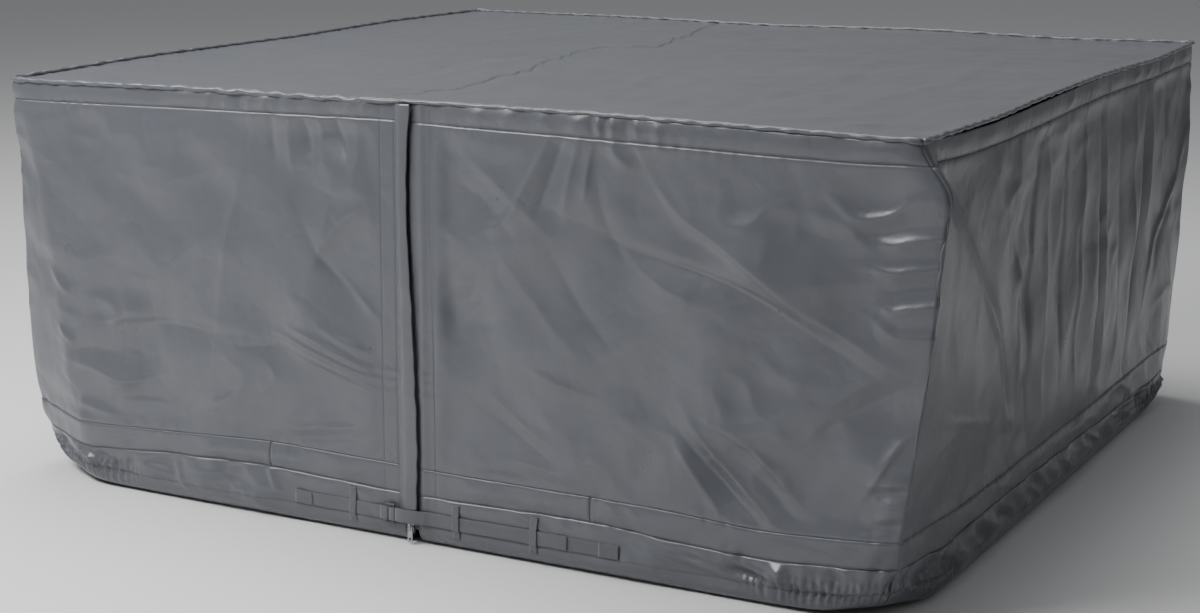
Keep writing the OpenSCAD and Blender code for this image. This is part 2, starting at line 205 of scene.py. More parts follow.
def coated_cloth(name, dark, light, gloss=0.30, weave=0.00055):
    """Satin coated polyester: a fine plain weave under the coating, creases that break up
    the sheen, and a slightly uneven tone."""
    n = Nodes(name)
    flat = n.place(True)
    room = n.place(False)
    n.colour(n.spread(n.noise(room, 3.2, 4, 0.6), 0.1, 0.9), dark, light)
    n.roughness(n.noise(room, 7.0, 5, 0.62), gloss - 0.10, gloss + 0.12)
    n.set("IOR", 1.55)
    n.set("Sheen Weight", 0.05)
    n.set("Sheen Roughness", 0.4)
    threads = n.combine(n.wave(flat, weave, "X"), n.wave(flat, weave, "Y"), "MULTIPLY")
    under = n.bump(threads, 0.00004, 0.3)
    under = n.bump(n.noise(room, 30, 4, 0.5), 0.0012, 0.35, under)
    # old packing creases, where the noise passes its middle value
    for scale, depth in ((4.5, 0.016), (10.0, 0.006)):
        level = n.combine(n.noise(room, scale, 3, 0.55), 0.5, "SUBTRACT")
        under = n.bump(n.combine(level, 0.0, "ABSOLUTE"), depth, 0.5, under)
    n.normal(under)
    return n.material


def webbing_cloth(name, dark, light, rib=0.0016, rough=0.72):
    """Woven tape: ribs along it, crossed by finer weft."""
    n = Nodes(name)
    flat = n.place(True)
    n.colour(n.noise(flat, 120, 4, 0.6), dark, light)
    n.roughness(n.noise(flat, 60), rough - 0.1, rough + 0.1)
    n.set("Sheen Weight", 0.25)
    ribs = n.wave(flat, rib, "Y")
    weft = n.wave(flat, rib * 0.6, "X", 1.0)
    n.normal(n.bump(n.combine(ribs, weft), 0.00022, 0.8))
    return n.material


def lining_cloth():
    """Silver-grey felted backing."""
    n = Nodes("thermal_lining")
    room = n.place(False)
    n.colour(n.noise(room, 14, 4), (0.34, 0.36, 0.39), (0.46, 0.48, 0.51))
    n.roughness(n.noise(room, 40), 0.7, 0.92)
    n.normal(n.bump(n.noise(room, 220, 5, 0.7), 0.0006, 0.7))
    return n.material


def moulded(name, colour, gloss):
    """Moulded plastic: an even colour with a fine spark-eroded grain."""
    n = Nodes(name)
    room = n.place(False)
    n.colour(n.noise(room, 180), colour, tuple(c * 1.35 + 0.004 for c in colour))
    n.roughness(n.noise(room, 320), gloss - 0.06, gloss + 0.08)
    n.normal(n.bump(n.noise(room, 900, 2), 0.00006, 0.5))
    return n.material


def painted_zinc():
    """Die-cast zinc with a worn satin paint."""
    n = Nodes("painted_zinc")
    room = n.place(False)
    wear = n.spread(n.noise(room, 420, 5, 0.7), -1.2, 1.6)
    n.colour(wear, (0.34, 0.34, 0.35), (0.62, 0.62, 0.63))
    n.set("Metallic", 0.85)
    n.roughness(n.noise(room, 260), 0.26, 0.42)
    n.normal(n.bump(n.noise(room, 700, 3), 0.00005, 0.5))
    return n.material


# ---- The cover's outline at each height ----

half_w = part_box("wall_right")[1].x
half_d = -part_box("wall_front_left")[0].y
lower_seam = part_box("wall_right")[0].z
upper_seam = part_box("upper_band_right")[0].z
skirt_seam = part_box("skirt_right")[1].z
welt_low, welt_high = (p.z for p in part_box("edge_welt_front"))
welt_z = (welt_low + welt_high) / 2
top_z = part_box("top_panel_right")[1].z
slot_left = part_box("wall_front_left")[1].x
slot_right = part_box("wall_front_right")[0].x
band_seam_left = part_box("lower_band_front_left_inner")[0].x
band_seam_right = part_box("lower_band_front_right_inner")[1].x
zip_x = (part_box("zip_slider")[0].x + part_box("zip_slider")[1].x) / 2

CLOTH = 1.2 * MM              # thickness of a layer of cloth
BAND_OUT = 0.6 * MM           # a band stands this far in front of its panel
STITCH_LEFT = -0.070          # stitch line at the left panel's zip side
STITCH_FLAP = -0.041          # stitch line that holds the flap
STITCH_RIGHT = 0.036          # stitch line at the right panel's zip side
HEM_STITCH = 0.037            # height of the hem's stitch line
HEM_END = -0.026              # where the cloth that is turned in ends
SKIRT_MIDDLE = 0.058          # height where the skirt is fullest
ELASTIC_REACH = 0.3           # how far each elastic runs along the walls from its corner
PLEAT_PITCH = 14.5 * MM       # of the gathers that the elastic draws

perimeter = 4 * (half_w + half_d)
# s of the front left, front right, back right and back left corners
CORNERS = [-half_w, half_w, half_w + 2 * half_d, 3 * half_w + 2 * half_d]
RIGHT, BACK, LEFT = half_w + half_d, 2 * (half_w + half_d), -half_w - half_d     # middles of the walls
# The grid of s and heights that the outline and the smooth tables are worked out on
FINE_COUNT = 3510
fine_s = -half_w + np.arange(FINE_COUNT) * perimeter / FINE_COUNT
FINE_Z = 0.004
fine_z = np.arange(0, 0.84, FINE_Z)


def soften(values, sigma, step):
    """A running average with a bell-shaped window, sigma wide."""
    reach = max(1, int(3 * sigma / step))
    window = np.exp(-0.5 * (np.arange(-reach, reach + 1) * step / sigma) ** 2)
    padded = np.pad(values, reach, mode="edge")
    return np.convolve(padded, window / window.sum(), mode="valid")


def by_height(*knots):
    """A smooth value at every fine_z from (height, value) knots, both in millimetres."""
    heights, values = np.transpose(knots) * MM
    return soften(np.interp(fine_z, heights, values), 0.012, FINE_Z)


# Each corner: how far back along the wall before it, and along the wall after it, it starts
# to turn, and its tip, as distances in from the two walls. They change with the height.
plain_turn = by_height((20, 140), (90, 100), (140, 70), (300, 50), (600, 36), (774, 14))
plain_tip = by_height((20, 46), (90, 18), (140, 10), (300, 3), (600, -4), (720, -4), (774, 3))
PLAIN_CORNER = (plain_turn, plain_turn, plain_tip, plain_tip)
# The front left corner turns in two steps, with a narrow flat between them.
FRONT_LEFT_CORNER = (
    by_height((20, 170), (90, 230), (140, 240), (460, 180), (700, 90), (774, 20)),
    by_height((20, 150), (90, 140), (140, 128), (200, 100), (460, 80), (700, 36), (774, 14)),
    by_height((20, 50), (90, 72), (140, 75), (200, 60), (300, 48), (460, 34), (600, 22), (700, 12),
              (774, 4)),
    by_height((20, 40), (90, -22), (140, -35), (200, -31), (300, -25), (460, -18), (600, -13),
              (700, -8), (774, 0)),
)
# The front right corner stands out in an ear under the band. Behind it a flat triangle
# widens downwards, out to a crease on the right wall.
FRONT_RIGHT_CORNER = (
    by_height((20, 130), (90, 80), (140, 40), (300, 24), (774, 14)),
    by_height((20, 150), (90, 330), (140, 520), (200, 530), (370, 430), (510, 310),
              (610, 210), (690, 130), (736, 80), (774, 20)),
    by_height((20, 44), (90, 14), (150, 10), (200, 3), (370, -24), (510, -37),
              (610, -47), (690, -57), (715, -52), (736, -33), (755, -14), (774, 1)),
    by_height((20, 46), (90, 16), (150, 6), (370, 3), (774, 3)),
)
corner_turns = [FRONT_LEFT_CORNER, FRONT_RIGHT_CORNER, PLAIN_CORNER, PLAIN_CORNER]
# How far each height's corners are rounded off
corner_blur = by_height((0, 26), (24, 24), (90, 12), (140, 7), (200, 3.5), (700, 4), (735, 9),
                        (774, 11))


def blur_round(values, width):
    """Values round the cover (the last axis), softened over width."""
    waves = 2 * math.pi * np.fft.rfftfreq(FINE_COUNT, perimeter / FINE_COUNT)
    return np.fft.irfft(np.fft.rfft(values) * np.exp(-0.5 * (width * waves) ** 2), FINE_COUNT)


def unit(vectors):
    """Vectors, along the last axis, brought to length 1."""
    return vectors / np.maximum(np.linalg.norm(vectors, axis=-1, keepdims=True), 1e-12)


def lengths_along(path):
    """How far along a path each of its points is."""
    return np.concatenate([[0], np.cumsum(np.linalg.norm(np.diff(path, axis=0), axis=1))])


def make_outline():
    """Plan position and outward direction at every fine_z and fine_s."""
    along = np.array([(1, 0), (0, 1), (-1, 0), (0, -1)], float)
    tips = np.array([(-half_w, -half_d), (half_w, -half_d), (half_w, half_d), (-half_w, half_d)])
    plan = np.zeros((len(fine_z), FINE_COUNT, 2))
    for row in range(len(fine_z)):
        knots, places = [], []
        for k, corner in enumerate(CORNERS):
            before, after, tip_in, tip_along = (turn[row] for turn in corner_turns[k])
            back, on = -along[k - 1], along[k]
            knots += [corner - before, corner, corner + after]
            places += [tips[k] + back * before, tips[k] + back * tip_in + on * tip_along,
                       tips[k] + on * after]
        places = np.array(places)
        for axis in range(2):
            plan[row, :, axis] = np.interp(fine_s, knots, places[:, axis], period=perimeter)
    for axis in range(2):
        plan[:, :, axis] = blur_round(plan[:, :, axis], corner_blur[:, None])
    ahead = unit(np.roll(plan, -1, axis=1) - np.roll(plan, 1, axis=1))
    outward = np.stack([ahead[:, :, 1], -ahead[:, :, 0]], axis=2)
    return np.concatenate([plan, outward], axis=2)


outline = make_outline()


def on_outline(s, z):
    """x, y and the outward direction at places (s, z), between the outline's own points."""
    column = np.mod((s + half_w) / perimeter * FINE_COUNT, FINE_COUNT)
    row = np.clip(z / FINE_Z, 0, len(fine_z) - 1.001)
    c0, r0 = column.astype(int), row.astype(int)
    c1, r1 = (c0 + 1) % FINE_COUNT, r0 + 1
    c0 = c0 % FINE_COUNT
    fc, fr = (column - np.floor(column))[..., None], (row - r0)[..., None]
    low = outline[r0, c0] * (1 - fc) + outline[r0, c1] * fc
    high = outline[r1, c0] * (1 - fc) + outline[r1, c1] * fc
    return low * (1 - fr) + high * fr


# ---- Folds, creases and gathers ----

def around(s, knots, blur=0.03):
    """A smooth value round the cover from (s, value) knots, both in millimetres."""
    places, values = np.transpose(knots) * MM
    table = np.interp(fine_s, places, values, period=perimeter)
    return np.interp(s, fine_s, blur_round(table, blur), period=perimeter)


def ripple(points, length, seed, count=14):
    """Smooth noise between about -1 and 1, whose humps are length apart."""
    random = np.random.default_rng(seed)
    total = np.zeros(points[0].shape)
    for _ in range(count):
        direction = random.normal(size=len(points))
        direction *= 2 * math.pi / (length * random.uniform(0.7, 1.5)) / np.linalg.norm(direction)
        phase = random.uniform(0, 2 * math.pi)
        total += np.sin(sum(d * p for d, p in zip(direction, points)) + phase)
    return total / math.sqrt(count) * 0.9


def creases(points, length, seed, softness=0.01):
    """The size of a ripple: broad humps with a narrow valley wherever the ripple passes 0."""
    return np.sqrt(ripple(points, length, seed) ** 2 + softness)


def near(value, place, width):
    """1 at place, falling to nothing about twice the width away."""
    return np.exp(-((value - place) / width) ** 2)


def step_up(value, low, high):
    """0 below low, 1 above high, and a smooth rise between them."""
    t = np.clip((value - low) / (high - low), 0, 1)
    return t * t * (3 - 2 * t)


def smooth_path(points, count=6):
    """Points on a smooth curve through the given ones."""
    p = [np.array(q, float) for q in points]
    p = [2 * p[0] - p[1]] + p + [2 * p[-1] - p[-2]]
    curve = []
    for a, b, c, d in zip(p, p[1:], p[2:], p[3:]):
        for t in np.arange(count) / count:
            curve.append(0.5 * (2 * b + (c - a) * t + (2 * a - 5 * b + 4 * c - d) * t * t
                                + (3 * b - a - 3 * c + d) * t ** 3))
    return np.array(curve + [p[-2]])


def add_fold(total, s, v, height, left, right, points):
    """Adds a ridge, or a valley if height is below 0, along a path of (s, v) points. left and
    right are the widths of its two flanks, seen along the path. All in millimetres but the
    points."""
    path = smooth_path(points)
    reach = 4 * max(left, right) * MM
    chosen = ((s > path[:, 0].min() - reach) & (s < path[:, 0].max() + reach)
              & (v > path[:, 1].min() - reach) & (v < path[:, 1].max() + reach))
    if not chosen.any():
        return
    ps, pv = s[chosen], v[chosen]
    best = np.full(ps.shape, 9.0)
    side = np.zeros(ps.shape)
    share = np.zeros(ps.shape)
    lengths = np.linalg.norm(np.diff(path, axis=0), axis=1)
    done = 0.0
    for (a, b), length in zip(zip(path, path[1:]), lengths):
        ds, dv = (b - a) / length
        t = np.clip((ps - a[0]) * ds + (pv - a[1]) * dv, 0, length)
        away_s, away_v = ps - a[0] - t * ds, pv - a[1] - t * dv
        distance = np.hypot(away_s, away_v)
        closer = distance < best
        best = np.where(closer, distance, best)
        side = np.where(closer, ds * away_v - dv * away_s, side)
        share = np.where(closer, (done + t) / lengths.sum(), share)
        done += length
    flank = np.where(side > 0, left, right) * MM
    crest = 0.0025
    away = np.sqrt(best ** 2 + crest ** 2) - crest
    taper = np.sin(math.pi * np.clip(share, 0.04, 0.96)) ** 0.6
    total[chosen] += height * MM * np.exp(-away / flank) * taper


def add_folds(total, s, v, folds):
    for height, left, right, *path in folds:
        add_fold(total, s, v, height, left, right, np.reshape(path, (-1, 2)) * MM)


# Each fold on the front: its height, its left and right flanks, and then its path as x and
# height, x and height and so on. All in millimetres.
FRONT_FOLDS = [
    # left half: gathers under the welt, and the short folds that hang from them
    (3, 9, 6, -440, 738, -425, 768),
    (3.4, 7, 9, -400, 740, -385, 770),
    (-3, 6, 6, -370, 738, -362, 768),
    (3.6, 8, 6, -345, 738, -340, 770),
    (3, 6, 8, -318, 740, -300, 768),
    (-2.6, 5, 7, -285, 740, -275, 766),
    (2.6, 10, 8, -230, 742, -200, 768),
    (3.2, 8, 6, -140, 744, -115, 768),
    (3.2, 8, 6, -110, 744, -85, 770),
    (-5.5, 5, 14, -297, 736, -300, 690, -291, 655),
    (4, 16, 14, -262, 736, -262, 680, -255, 640),
    (-5, 5, 12, -232, 734, -222, 700, -215, 664),
    (4.2, 14, 10, -195, 736, -188, 690, -180, 650),
    (-5, 5, 12, -165, 740, -150, 700, -135, 667),
    (3.5, 18, 12, -120, 740, -115, 690, -125, 630),
    (-3, 20, 30, -400, 700, -440, 600, -520, 480),
    (7, 50, 18, -360, 660, -400, 520, -430, 360),
    (7, 18, 44, -170, 620, -200, 520, -240, 420),
    (4.5, 10, 12, -195, 515, -155, 565, -100, 600),
    (-5, 26, 10, -240, 560, -190, 490, -84, 420),
    (4.5, 12, 5, -174, 482, -120, 440, -78, 400),
    # left half: the level fold and the bundle that runs to the zip
    (-5, 6, 36, -660, 330, -560, 342, -447, 338, -360, 339),
    (4, 30, 12, -700, 318, -660, 338, -580, 345),
    (6, 9, 4, -300, 352, -250, 338, -190, 318, -120, 298, -75, 290),
    (5.5, 8, 4, -270, 365, -210, 348, -150, 325, -100, 308),
    (5.5, 8, 4, -260, 325, -180, 300, -100, 278, -75, 272),
    (5, 8, 4, -200, 375, -150, 352, -100, 338),
    (-3, 12, 10, -400, 318, -330, 322, -280, 336),
    (3, 18, 10, -420, 300, -370, 262, -400, 220, -460, 200),
    (2.5, 10, 16, -330, 310, -300, 265, -340, 235),
    # left half: the lower left, pulled towards the corner
    (9, 22, 8, -790, 245, -730, 238, -660, 222, -600, 232),
    (-5, 14, 30, -800, 262, -740, 275, -660, 270),
    (6.5, 16, 6, -780, 175, -730, 168, -680, 160),
    (-3.5, 10, 16, -700, 197, -620, 200, -540, 196),
    (2.5, 7, 10, -660, 188, -580, 194, -520, 190),
    (5, 9, 5, -830, 420, -800, 385, -775, 370),
    (5, 9, 5, -820, 310, -790, 285, -770, 280),
    (-3.5, 9, 9, -820, 215, -790, 195, -775, 165),
    (3, 12, 8, -250, 175, -160, 190, -100, 200),
    (-3, 8, 14, -280, 163, -200, 165, -100, 180),
    # left skirt
    (6.5, 9, 5, -540, 75, -525, 50, -510, 24),
    (7, 10, 5, -325, 94, -315, 75, -300, 56),
    (-4, 10, 14, -300, 92, -260, 80, -200, 70),
    (7.5, 18, 7, -290, 88, -230, 62, -170, 40),
    (-4, 20, 12, -660, 82, -580, 70, -500, 68),
    (4.5, 10, 20, -680, 60, -620, 78, -570, 83),
    (4, 16, 10, -560, 72, -470, 66, -380, 82),
    (4, 14, 14, -160, 55, -110, 30, -80, 24),
    # right half: pleats in the band, and folds that fan out below them
    (-4, 5, 5, 345, 738, 342, 770),
    (3.6, 6, 5, 357, 737, 352, 770),
    (-3.6, 4, 5, 368, 737, 366, 770),
    (3.6, 6, 5, 382, 737, 378, 770),
    (-2.8, 5, 6, 405, 737, 405, 770),
    (3, 6, 8, 425, 737, 422, 770),
    (3, 8, 8, 465, 737, 458, 768),
    (3, 14, 8, 300, 740, 330, 768),
    (2.5, 14, 10, 110, 742, 140, 768),
    (2.5, 12, 10, 170, 742, 200, 768),
    (2.4, 14, 12, 240, 742, 260, 768),
    (6, 14, 6, 318, 735, 300, 680, 285, 620),
    (-5.5, 6, 12, 290, 735, 265, 680, 240, 620),
    (5.5, 18, 7, 268, 738, 225, 670, 180, 600, 130, 575),
    (5, 6, 10, 345, 735, 335, 700, 325, 640),
    (5, 14, 8, 375, 738, 385, 715, 415, 700),
    (-4, 18, 24, 350, 700, 360, 620, 400, 540),
    (4, 30, 24, 80, 710, 170, 650, 265, 574),
    (-3.5, 26, 20, 80, 655, 140, 620, 200, 560),
    # right half: the long fold to the lower right corner and those beside it
    (8, 34, 8, 440, 700, 500, 630, 600, 575, 700, 505, 800, 455, 875, 410),
    (-8, 7, 40, 320, 605, 420, 568, 520, 545, 620, 520, 700, 480, 840, 405),
    (5, 36, 20, 420, 545, 470, 515, 530, 490),
    (4, 30, 26, 160, 545, 220, 470, 290, 400, 330, 370),
    (-4, 30, 26, 260, 550, 310, 470, 380, 390),
    (4, 20, 30, 890, 440, 830, 400, 750, 345, 680, 310),
    (-4, 26, 20, 890, 400, 820, 355, 740, 300),
    # right half: folds that reach in from the upper right corner
    (7, 12, 7, 900, 700, 860, 665, 800, 655, 755, 685),
    (-4, 12, 14, 920, 665, 850, 635, 790, 630),
    (6, 11, 6, 925, 645, 870, 620, 830, 620),
    (6, 11, 6, 925, 600, 870, 575, 820, 580),
    (-3.6, 10, 12, 925, 575, 880, 550, 830, 545),
    (6, 11, 6, 920, 540, 870, 515, 840, 520),
    (5.5, 12, 6, 915, 480, 870, 475, 830, 500),
    (4, 16, 24, 720, 660, 780, 640, 830, 600),
    # right half: lower left corner of the panel
    (3, 12, 10, 140, 300, 200, 250, 270, 215),
    (-3, 14, 10, 120, 275, 190, 235, 270, 190),
    (2.6, 8, 6, 220, 345, 280, 325, 340, 310),
    (2.4, 8, 8, 160, 185, 240, 178, 320, 165),
    (-2.4, 6, 10, 100, 160, 200, 163, 300, 152),
    # right half: three slanting folds over the band
    (9, 14, 5, 520, 300, 560, 255, 620, 200, 670, 155),
    (-7, 6, 12, 500, 285, 550, 235, 610, 180, 650, 150),
    (7.5, 12, 5, 500, 255, 540, 200, 580, 155),
    (7, 12, 5, 560, 300, 620, 275, 670, 235, 730, 175),
    (-4, 12, 12, 600, 255, 660, 215, 710, 165),
    # right half: crinkles at the corner
    (6.5, 10, 4, 830, 215, 870, 285, 895, 325),
    (4.5, 8, 6, 840, 232, 870, 238, 900, 245),
    (-4.5, 7, 8, 840, 218, 870, 222, 900, 227),
    (4.5, 7, 6, 850, 206, 880, 203, 900, 206),
    (4.5, 8, 7, 840, 175, 870, 182, 900, 186),
    (-4, 8, 10, 830, 160, 870, 167, 900, 170),
    # right half: lower band and skirt
    (-3, 6, 8, 352, 95, 350, 140),
    (3, 8, 8, 375, 135, 410, 100),
    (3, 10, 8, 410, 138, 450, 95),
    (2.6, 10, 8, 700, 125, 780, 115, 840, 100),
    (3, 10, 8, 830, 130, 860, 105),
    (9, 20, 5, 380, 94, 460, 72, 560, 52, 660, 36, 720, 34),
    (-8, 6, 16, 420, 90, 520, 68, 640, 50, 740, 42),
    (5, 14, 12, 660, 78, 740, 62, 800, 40),
    (5, 12, 10, 780, 88, 820, 65, 850, 40),
    (-4, 10, 12, 740, 85, 790, 60, 820, 40),
    (4, 12, 12, 860, 95, 890, 70, 900, 45),
]

# The same on the right wall, with y for x
RIGHT_FOLDS = [
    (3.5, 20, 5, -420, 730, -360, 600, -300, 420, -290, 160),
    (-5, 5, 24, -200, 735, -235, 600, -240, 400, -230, 160),
    (6, 8, 26, -190, 735, -160, 640, -150, 450, -160, 180),
    (-5, 7, 22, -60, 735, -40, 520, -60, 240),
    (5, 22, 7, 50, 735, 60, 500, 30, 200),
    (-8, 18, 4, 165, 735, 175, 500, 160, 160),
    (5, 6, 20, 200, 735, 210, 550, 215, 300, 200, 160),
    (-4, 16, 16, 310, 735, 320, 500, 330, 200),
    (6, 6, 16, 400, 735, 405, 550, 420, 300),
    (-9, 20, 4, 475, 735, 480, 550, 455, 340, 420, 150),
    (6, 14, 20, 520, 740, 525, 600, 515, 420),
    (8, 20, 5, 840, 600, 770, 510, 660, 430, 580, 370, 545, 300),
    (-5, 12, 30, 840, 560, 760, 470, 660, 385, 600, 300),
    (-5, 20, 16, 670, 735, 680, 620, 660, 540),
    (5, 16, 16, 760, 735, 770, 660, 750, 580),
    (4, 10, 10, 620, 240, 720, 270, 820, 260),
    # the crease down the right wall, behind the ear of the corner
    (5, 12, 5, -800, 715, -720, 685, -640, 610, -545, 510, -430, 380, -370, 290, -345, 160),
    (-4.5, 5, 12, -775, 725, -690, 690, -610, 610, -515, 510, -400, 380, -345, 290, -325, 160),
    (3.4, 5, 4, -740, 318, -600, 285, -420, 243),
    (3, 14, 8, -790, 240, -710, 275, -600, 278),
    (3.5, 10, 14, -360, 270, -320, 210, -300, 150),
    (3, 10, 8, 360, 745, 420, 765),
    (3, 10, 8, 460, 745, 500, 768),
    (-3, 6, 8, 560, 745, 580, 770),
    (3, 10, 8, 640, 745, 690, 768),
    (3, 14, 10, -100, 740, -50, 768),
    (3.5, 14, 8, -420, 130, -300, 100),
    (3.5, 10, 14, 100, 130, 240, 100),
    (4, 14, 10, 400, 130, 500, 98),
    (5, 12, 8, -500, 88, -420, 60, -360, 30),
    (-4, 10, 12, -440, 88, -360, 60, -300, 34),
    (5, 14, 10, -700, 88, -620, 58, -560, 30),
    (4, 12, 12, -50, 86, 50, 60, 100, 36),
    (5, 16, 12, 620, 90, 700, 68, 800, 60),
]

# How far each seam is off its nominal height, as (s, rise) in millimetres
TOP_LIFT = [(-900, 0), (-850, -1), (-500, 6), (-100, 7), (0, 11), (350, 12), (700, 8), (900, 5),
            (1100, 3), (1260, 1), (1500, 7), (1880, 10), (2100, 6), (2260, 2), (2400, 4), (2600, 9),
            (2900, 3), (3200, 9), (3600, 2), (4000, 6), (4400, 4), (4800, 8), (5200, 3), (5700, 6)]
UPPER_SHIFT = [(-860, 2), (-600, 4), (-430, 6), (-190, 10), (-70, 12), (30, 7), (360, 3), (670, 0),
               (800, 0), (900, 5), (1100, -5), (1500, -7), (1900, 1), (2400, 3), (3000, 1), (3700, -2),
               (4400, 3), (5200, -2)]
LOWER_SHIFT = [(-900, -4), (-766, -17), (-590, -9), (-320, 6), (-60, 2), (40, -1), (470, -1),
               (650, -11), (820, -1), (900, 6), (1150, -8), (1400, -6), (2000, -9), (2400, -3),
               (2600, -10), (3100, 4), (3600, -4), (4100, 3), (4400, -10), (4900, 2), (5500, -5)]
SKIRT_SHIFT = [(-900, 2), (-767, -16), (-550, 2), (-310, 10), (-30, 1), (20, 1), (350, 7), (470, -1),
               (650, -8), (800, 2), (900, 8), (1120, -8), (1200, 3), (1500, 1), (1900, -6),
               (2300, -16), (2600, -10), (3100, 5), (3600, -3), (4100, 4), (4400, -12), (4900, 4),
               (5500, -4)]

SEAM_HEIGHTS = (skirt_seam, lower_seam, upper_seam)


def signed(s):
    """The same place as s, counted from the middle of the front both ways."""
    return np.mod(s + perimeter / 2, perimeter) - perimeter / 2


def corner_share(s, width):
    """1 at each corner, falling to 0 over width along the walls."""
    distance = np.min([np.abs(signed(s - c)) for c in CORNERS], axis=0)
    return 1 - step_up(distance, width * 0.7, width)


def wandering_folds(s, v, seed, start, end):
    """Long hanging folds for a wall, at seeded places between start and end."""
    random = np.random.default_rng(seed)
    total = np.zeros(s.shape)
    place = start + 0.1
    while place < end - 0.1:
        lean = random.uniform(-0.07, 0.07)
        top, bottom = random.uniform(0.62, 0.735), random.uniform(0.15, 0.36)
        height = random.choice([-1, 1]) * random.uniform(3.0, 7.0)
        flanks = random.uniform(8, 36, 2)
        middle = random.uniform(-0.02, 0.02)
        points = [(place, top), (place + lean / 2 + middle, (top + bottom) / 2), (place + lean, bottom)]
        add_fold(total, s, v, height, *flanks, points)
        if random.uniform() < 0.45:
            across = random.uniform(0.25, 0.6)
            add_fold(total, s, v, random.uniform(3, 5), 26, 12,
                     [(place, across), (place + 0.12, across - 0.05), (place + 0.24, across - 0.04)])
        place += random.uniform(0.07, 0.19)
    return total


def relief(s, v, x, y, z):
    """How far the cloth stands in front of the plain outline at each place."""
    s = signed(s)
    inside = np.ones(s.shape)
    for seam in SEAM_HEIGHTS:
        inside -= near(v, seam, 0.022)
    inside -= near(v, welt_z, 0.03)
    for line in (STITCH_LEFT, STITCH_RIGHT):
        inside -= near(s, line, 0.02)
    inside = np.clip(inside, 0, 1)
    hang = step_up(v, 0.0, 0.05)
    total = (5.0 * ripple((x, y, 0.8 * z), 0.42, 1) + 2.8 * ripple((x, y, z), 0.17, 2)) * MM * inside
    patches = step_up(ripple((x, y, z), 0.34, 5), -0.4, 0.9)
    wide, narrow = creases((x, y, z), 0.21, 3), creases((x, y, z), 0.10, 4)
    total += (-3.6 * wide - 2.4 * narrow * patches) * MM * inside
    total += 0.25 * MM * ripple((x, y, z), 0.035, 6) * patches

    # puckers along the seams
    for seam, seed in zip((*SEAM_HEIGHTS, HEM_STITCH), (11, 12, 13, 14)):
        strength = step_up(ripple((s,), 0.30, seed), -0.8, 1.1)
        total += 0.8 * MM * near(v, seam, 0.014) * ripple((s, 0.35 * v), 0.019, seed + 10) * strength
    # bands and skirt are a little full between their seams
    for low, high, full, seed in ((lower_seam, skirt_seam, 2.2, 22), (upper_seam, welt_z, 3.0, 30),
                                  (skirt_seam, 0.02, 4.5, 45)):
        t = np.clip((v - low) / (high - low), 0, 1)
        total += full * MM * np.sin(math.pi * t) * (1 + 0.5 * ripple((s,), 0.16, seed))
    total += BAND_OUT * ((v > upper_seam) | ((v < lower_seam) & (v > skirt_seam)))
    # the skirt hangs in soft waves that the hem takes up
    total += 4.2 * MM * ripple((s, 0.9 * v), 0.085, 21) * near(v, SKIRT_MIDDLE, 0.028)
    pinched = creases((s + 1.2 * v, 0.9 * v), 0.10, 22, 0.006)
    total -= 4.5 * MM * pinched * near(v, SKIRT_MIDDLE, 0.030)

    # elastic gathers at the corners of the hem
    drawn = corner_share(s, ELASTIC_REACH)
    pleats = np.sin(2 * math.pi * s / PLEAT_PITCH + 2.2 * ripple((s,), 0.07, 31))
    pleats += 0.4 * ripple((s, 0.5 * v), 0.011, 32)
    total += drawn * pleats * (4.2 * near(v, 0.020, 0.014) + 3.0 * near(v, 0.044, 0.018)) * MM
    total += drawn * 3.5 * MM * ripple((s, 0.4 * v), 0.042, 33) * near(v, 0.062, 0.022)
    total -= drawn * 3.5 * MM * near(v, HEM_STITCH - 0.002, 0.004)

    add_folds(total, s, v, FRONT_FOLDS)
    add_folds(total, s - RIGHT, v, RIGHT_FOLDS)
    whole = np.mod(s + half_w, perimeter) - half_w
    total += wandering_folds(whole, v, 41, CORNERS[2], CORNERS[3]) * inside
    total += wandering_folds(whole, v, 42, CORNERS[3], perimeter - half_w) * inside

    # the zip keeps its own strip of the front flat, and so does the strap
    zip_strip = step_up(np.abs(s - zip_x), 0.030, 0.085)
    along_strap = step_up(s, -0.30, -0.26) * (1 - step_up(s, 0.39, 0.43))
    strap_strip = 1 - 0.75 * near(v, 0.052, 0.024) * along_strap
    total *= zip_strip * strap_strip

    # folds that run on across the zip's stitch lines
    across = np.zeros(s.shape)
    for height in (0.293, 0.271, 0.31):
        path = [(-0.10, height + 0.004), (-0.06, height), (0.05, height + 0.002)]
        add_fold(across, s, v, 1.6, 4, 5, path)
    total += across * step_up(np.abs(s - zip_x), 0.011, 0.02)
    # rolled edge of the right half beside the zip
    total += 2.6 * MM * near(s, slot_right + 0.008, 0.008) * (s > slot_right - 0.001)
    # stitch lines and seams pull the cloth in
    for line in (STITCH_LEFT, STITCH_FLAP, STITCH_RIGHT):
        total -= 0.7 * MM * near(s, line, 0.0016) * (v > skirt_seam)
    for seam in SEAM_HEIGHTS:
        total -= 1.0 * MM * near(v, seam, 0.0026)
    total -= 0.6 * MM * near(v, HEM_STITCH, 0.0016)
    for line in (band_seam_left, band_seam_right):
        total -= 1.2 * MM * near(s, line, 0.0018) * (v > skirt_seam) * (v < lower_seam)
    return total * hang


# Free edge of the flap: (height, x). The right half's edge runs close beside it.
FLAP_EDGE = [(0.04, -0.001), (0.12, 0.002), (0.19, 0.004), (0.31, 0.000), (0.43, -0.005), (0.58, -0.013),
             (0.66, -0.012), (0.71, -0.011), (0.765, -0.002)]


def smooth_curve(place, knots, low, high, step):
    """A smooth value at place, from (place, value) knots softened over 30 mm."""
    even = np.arange(low, high, step)
    return np.interp(place, even, soften(np.interp(even, *np.transpose(knots)), 0.03, step))


def flap_edge(z):
    return smooth_curve(z, FLAP_EDGE, 0, 0.85, 0.005)


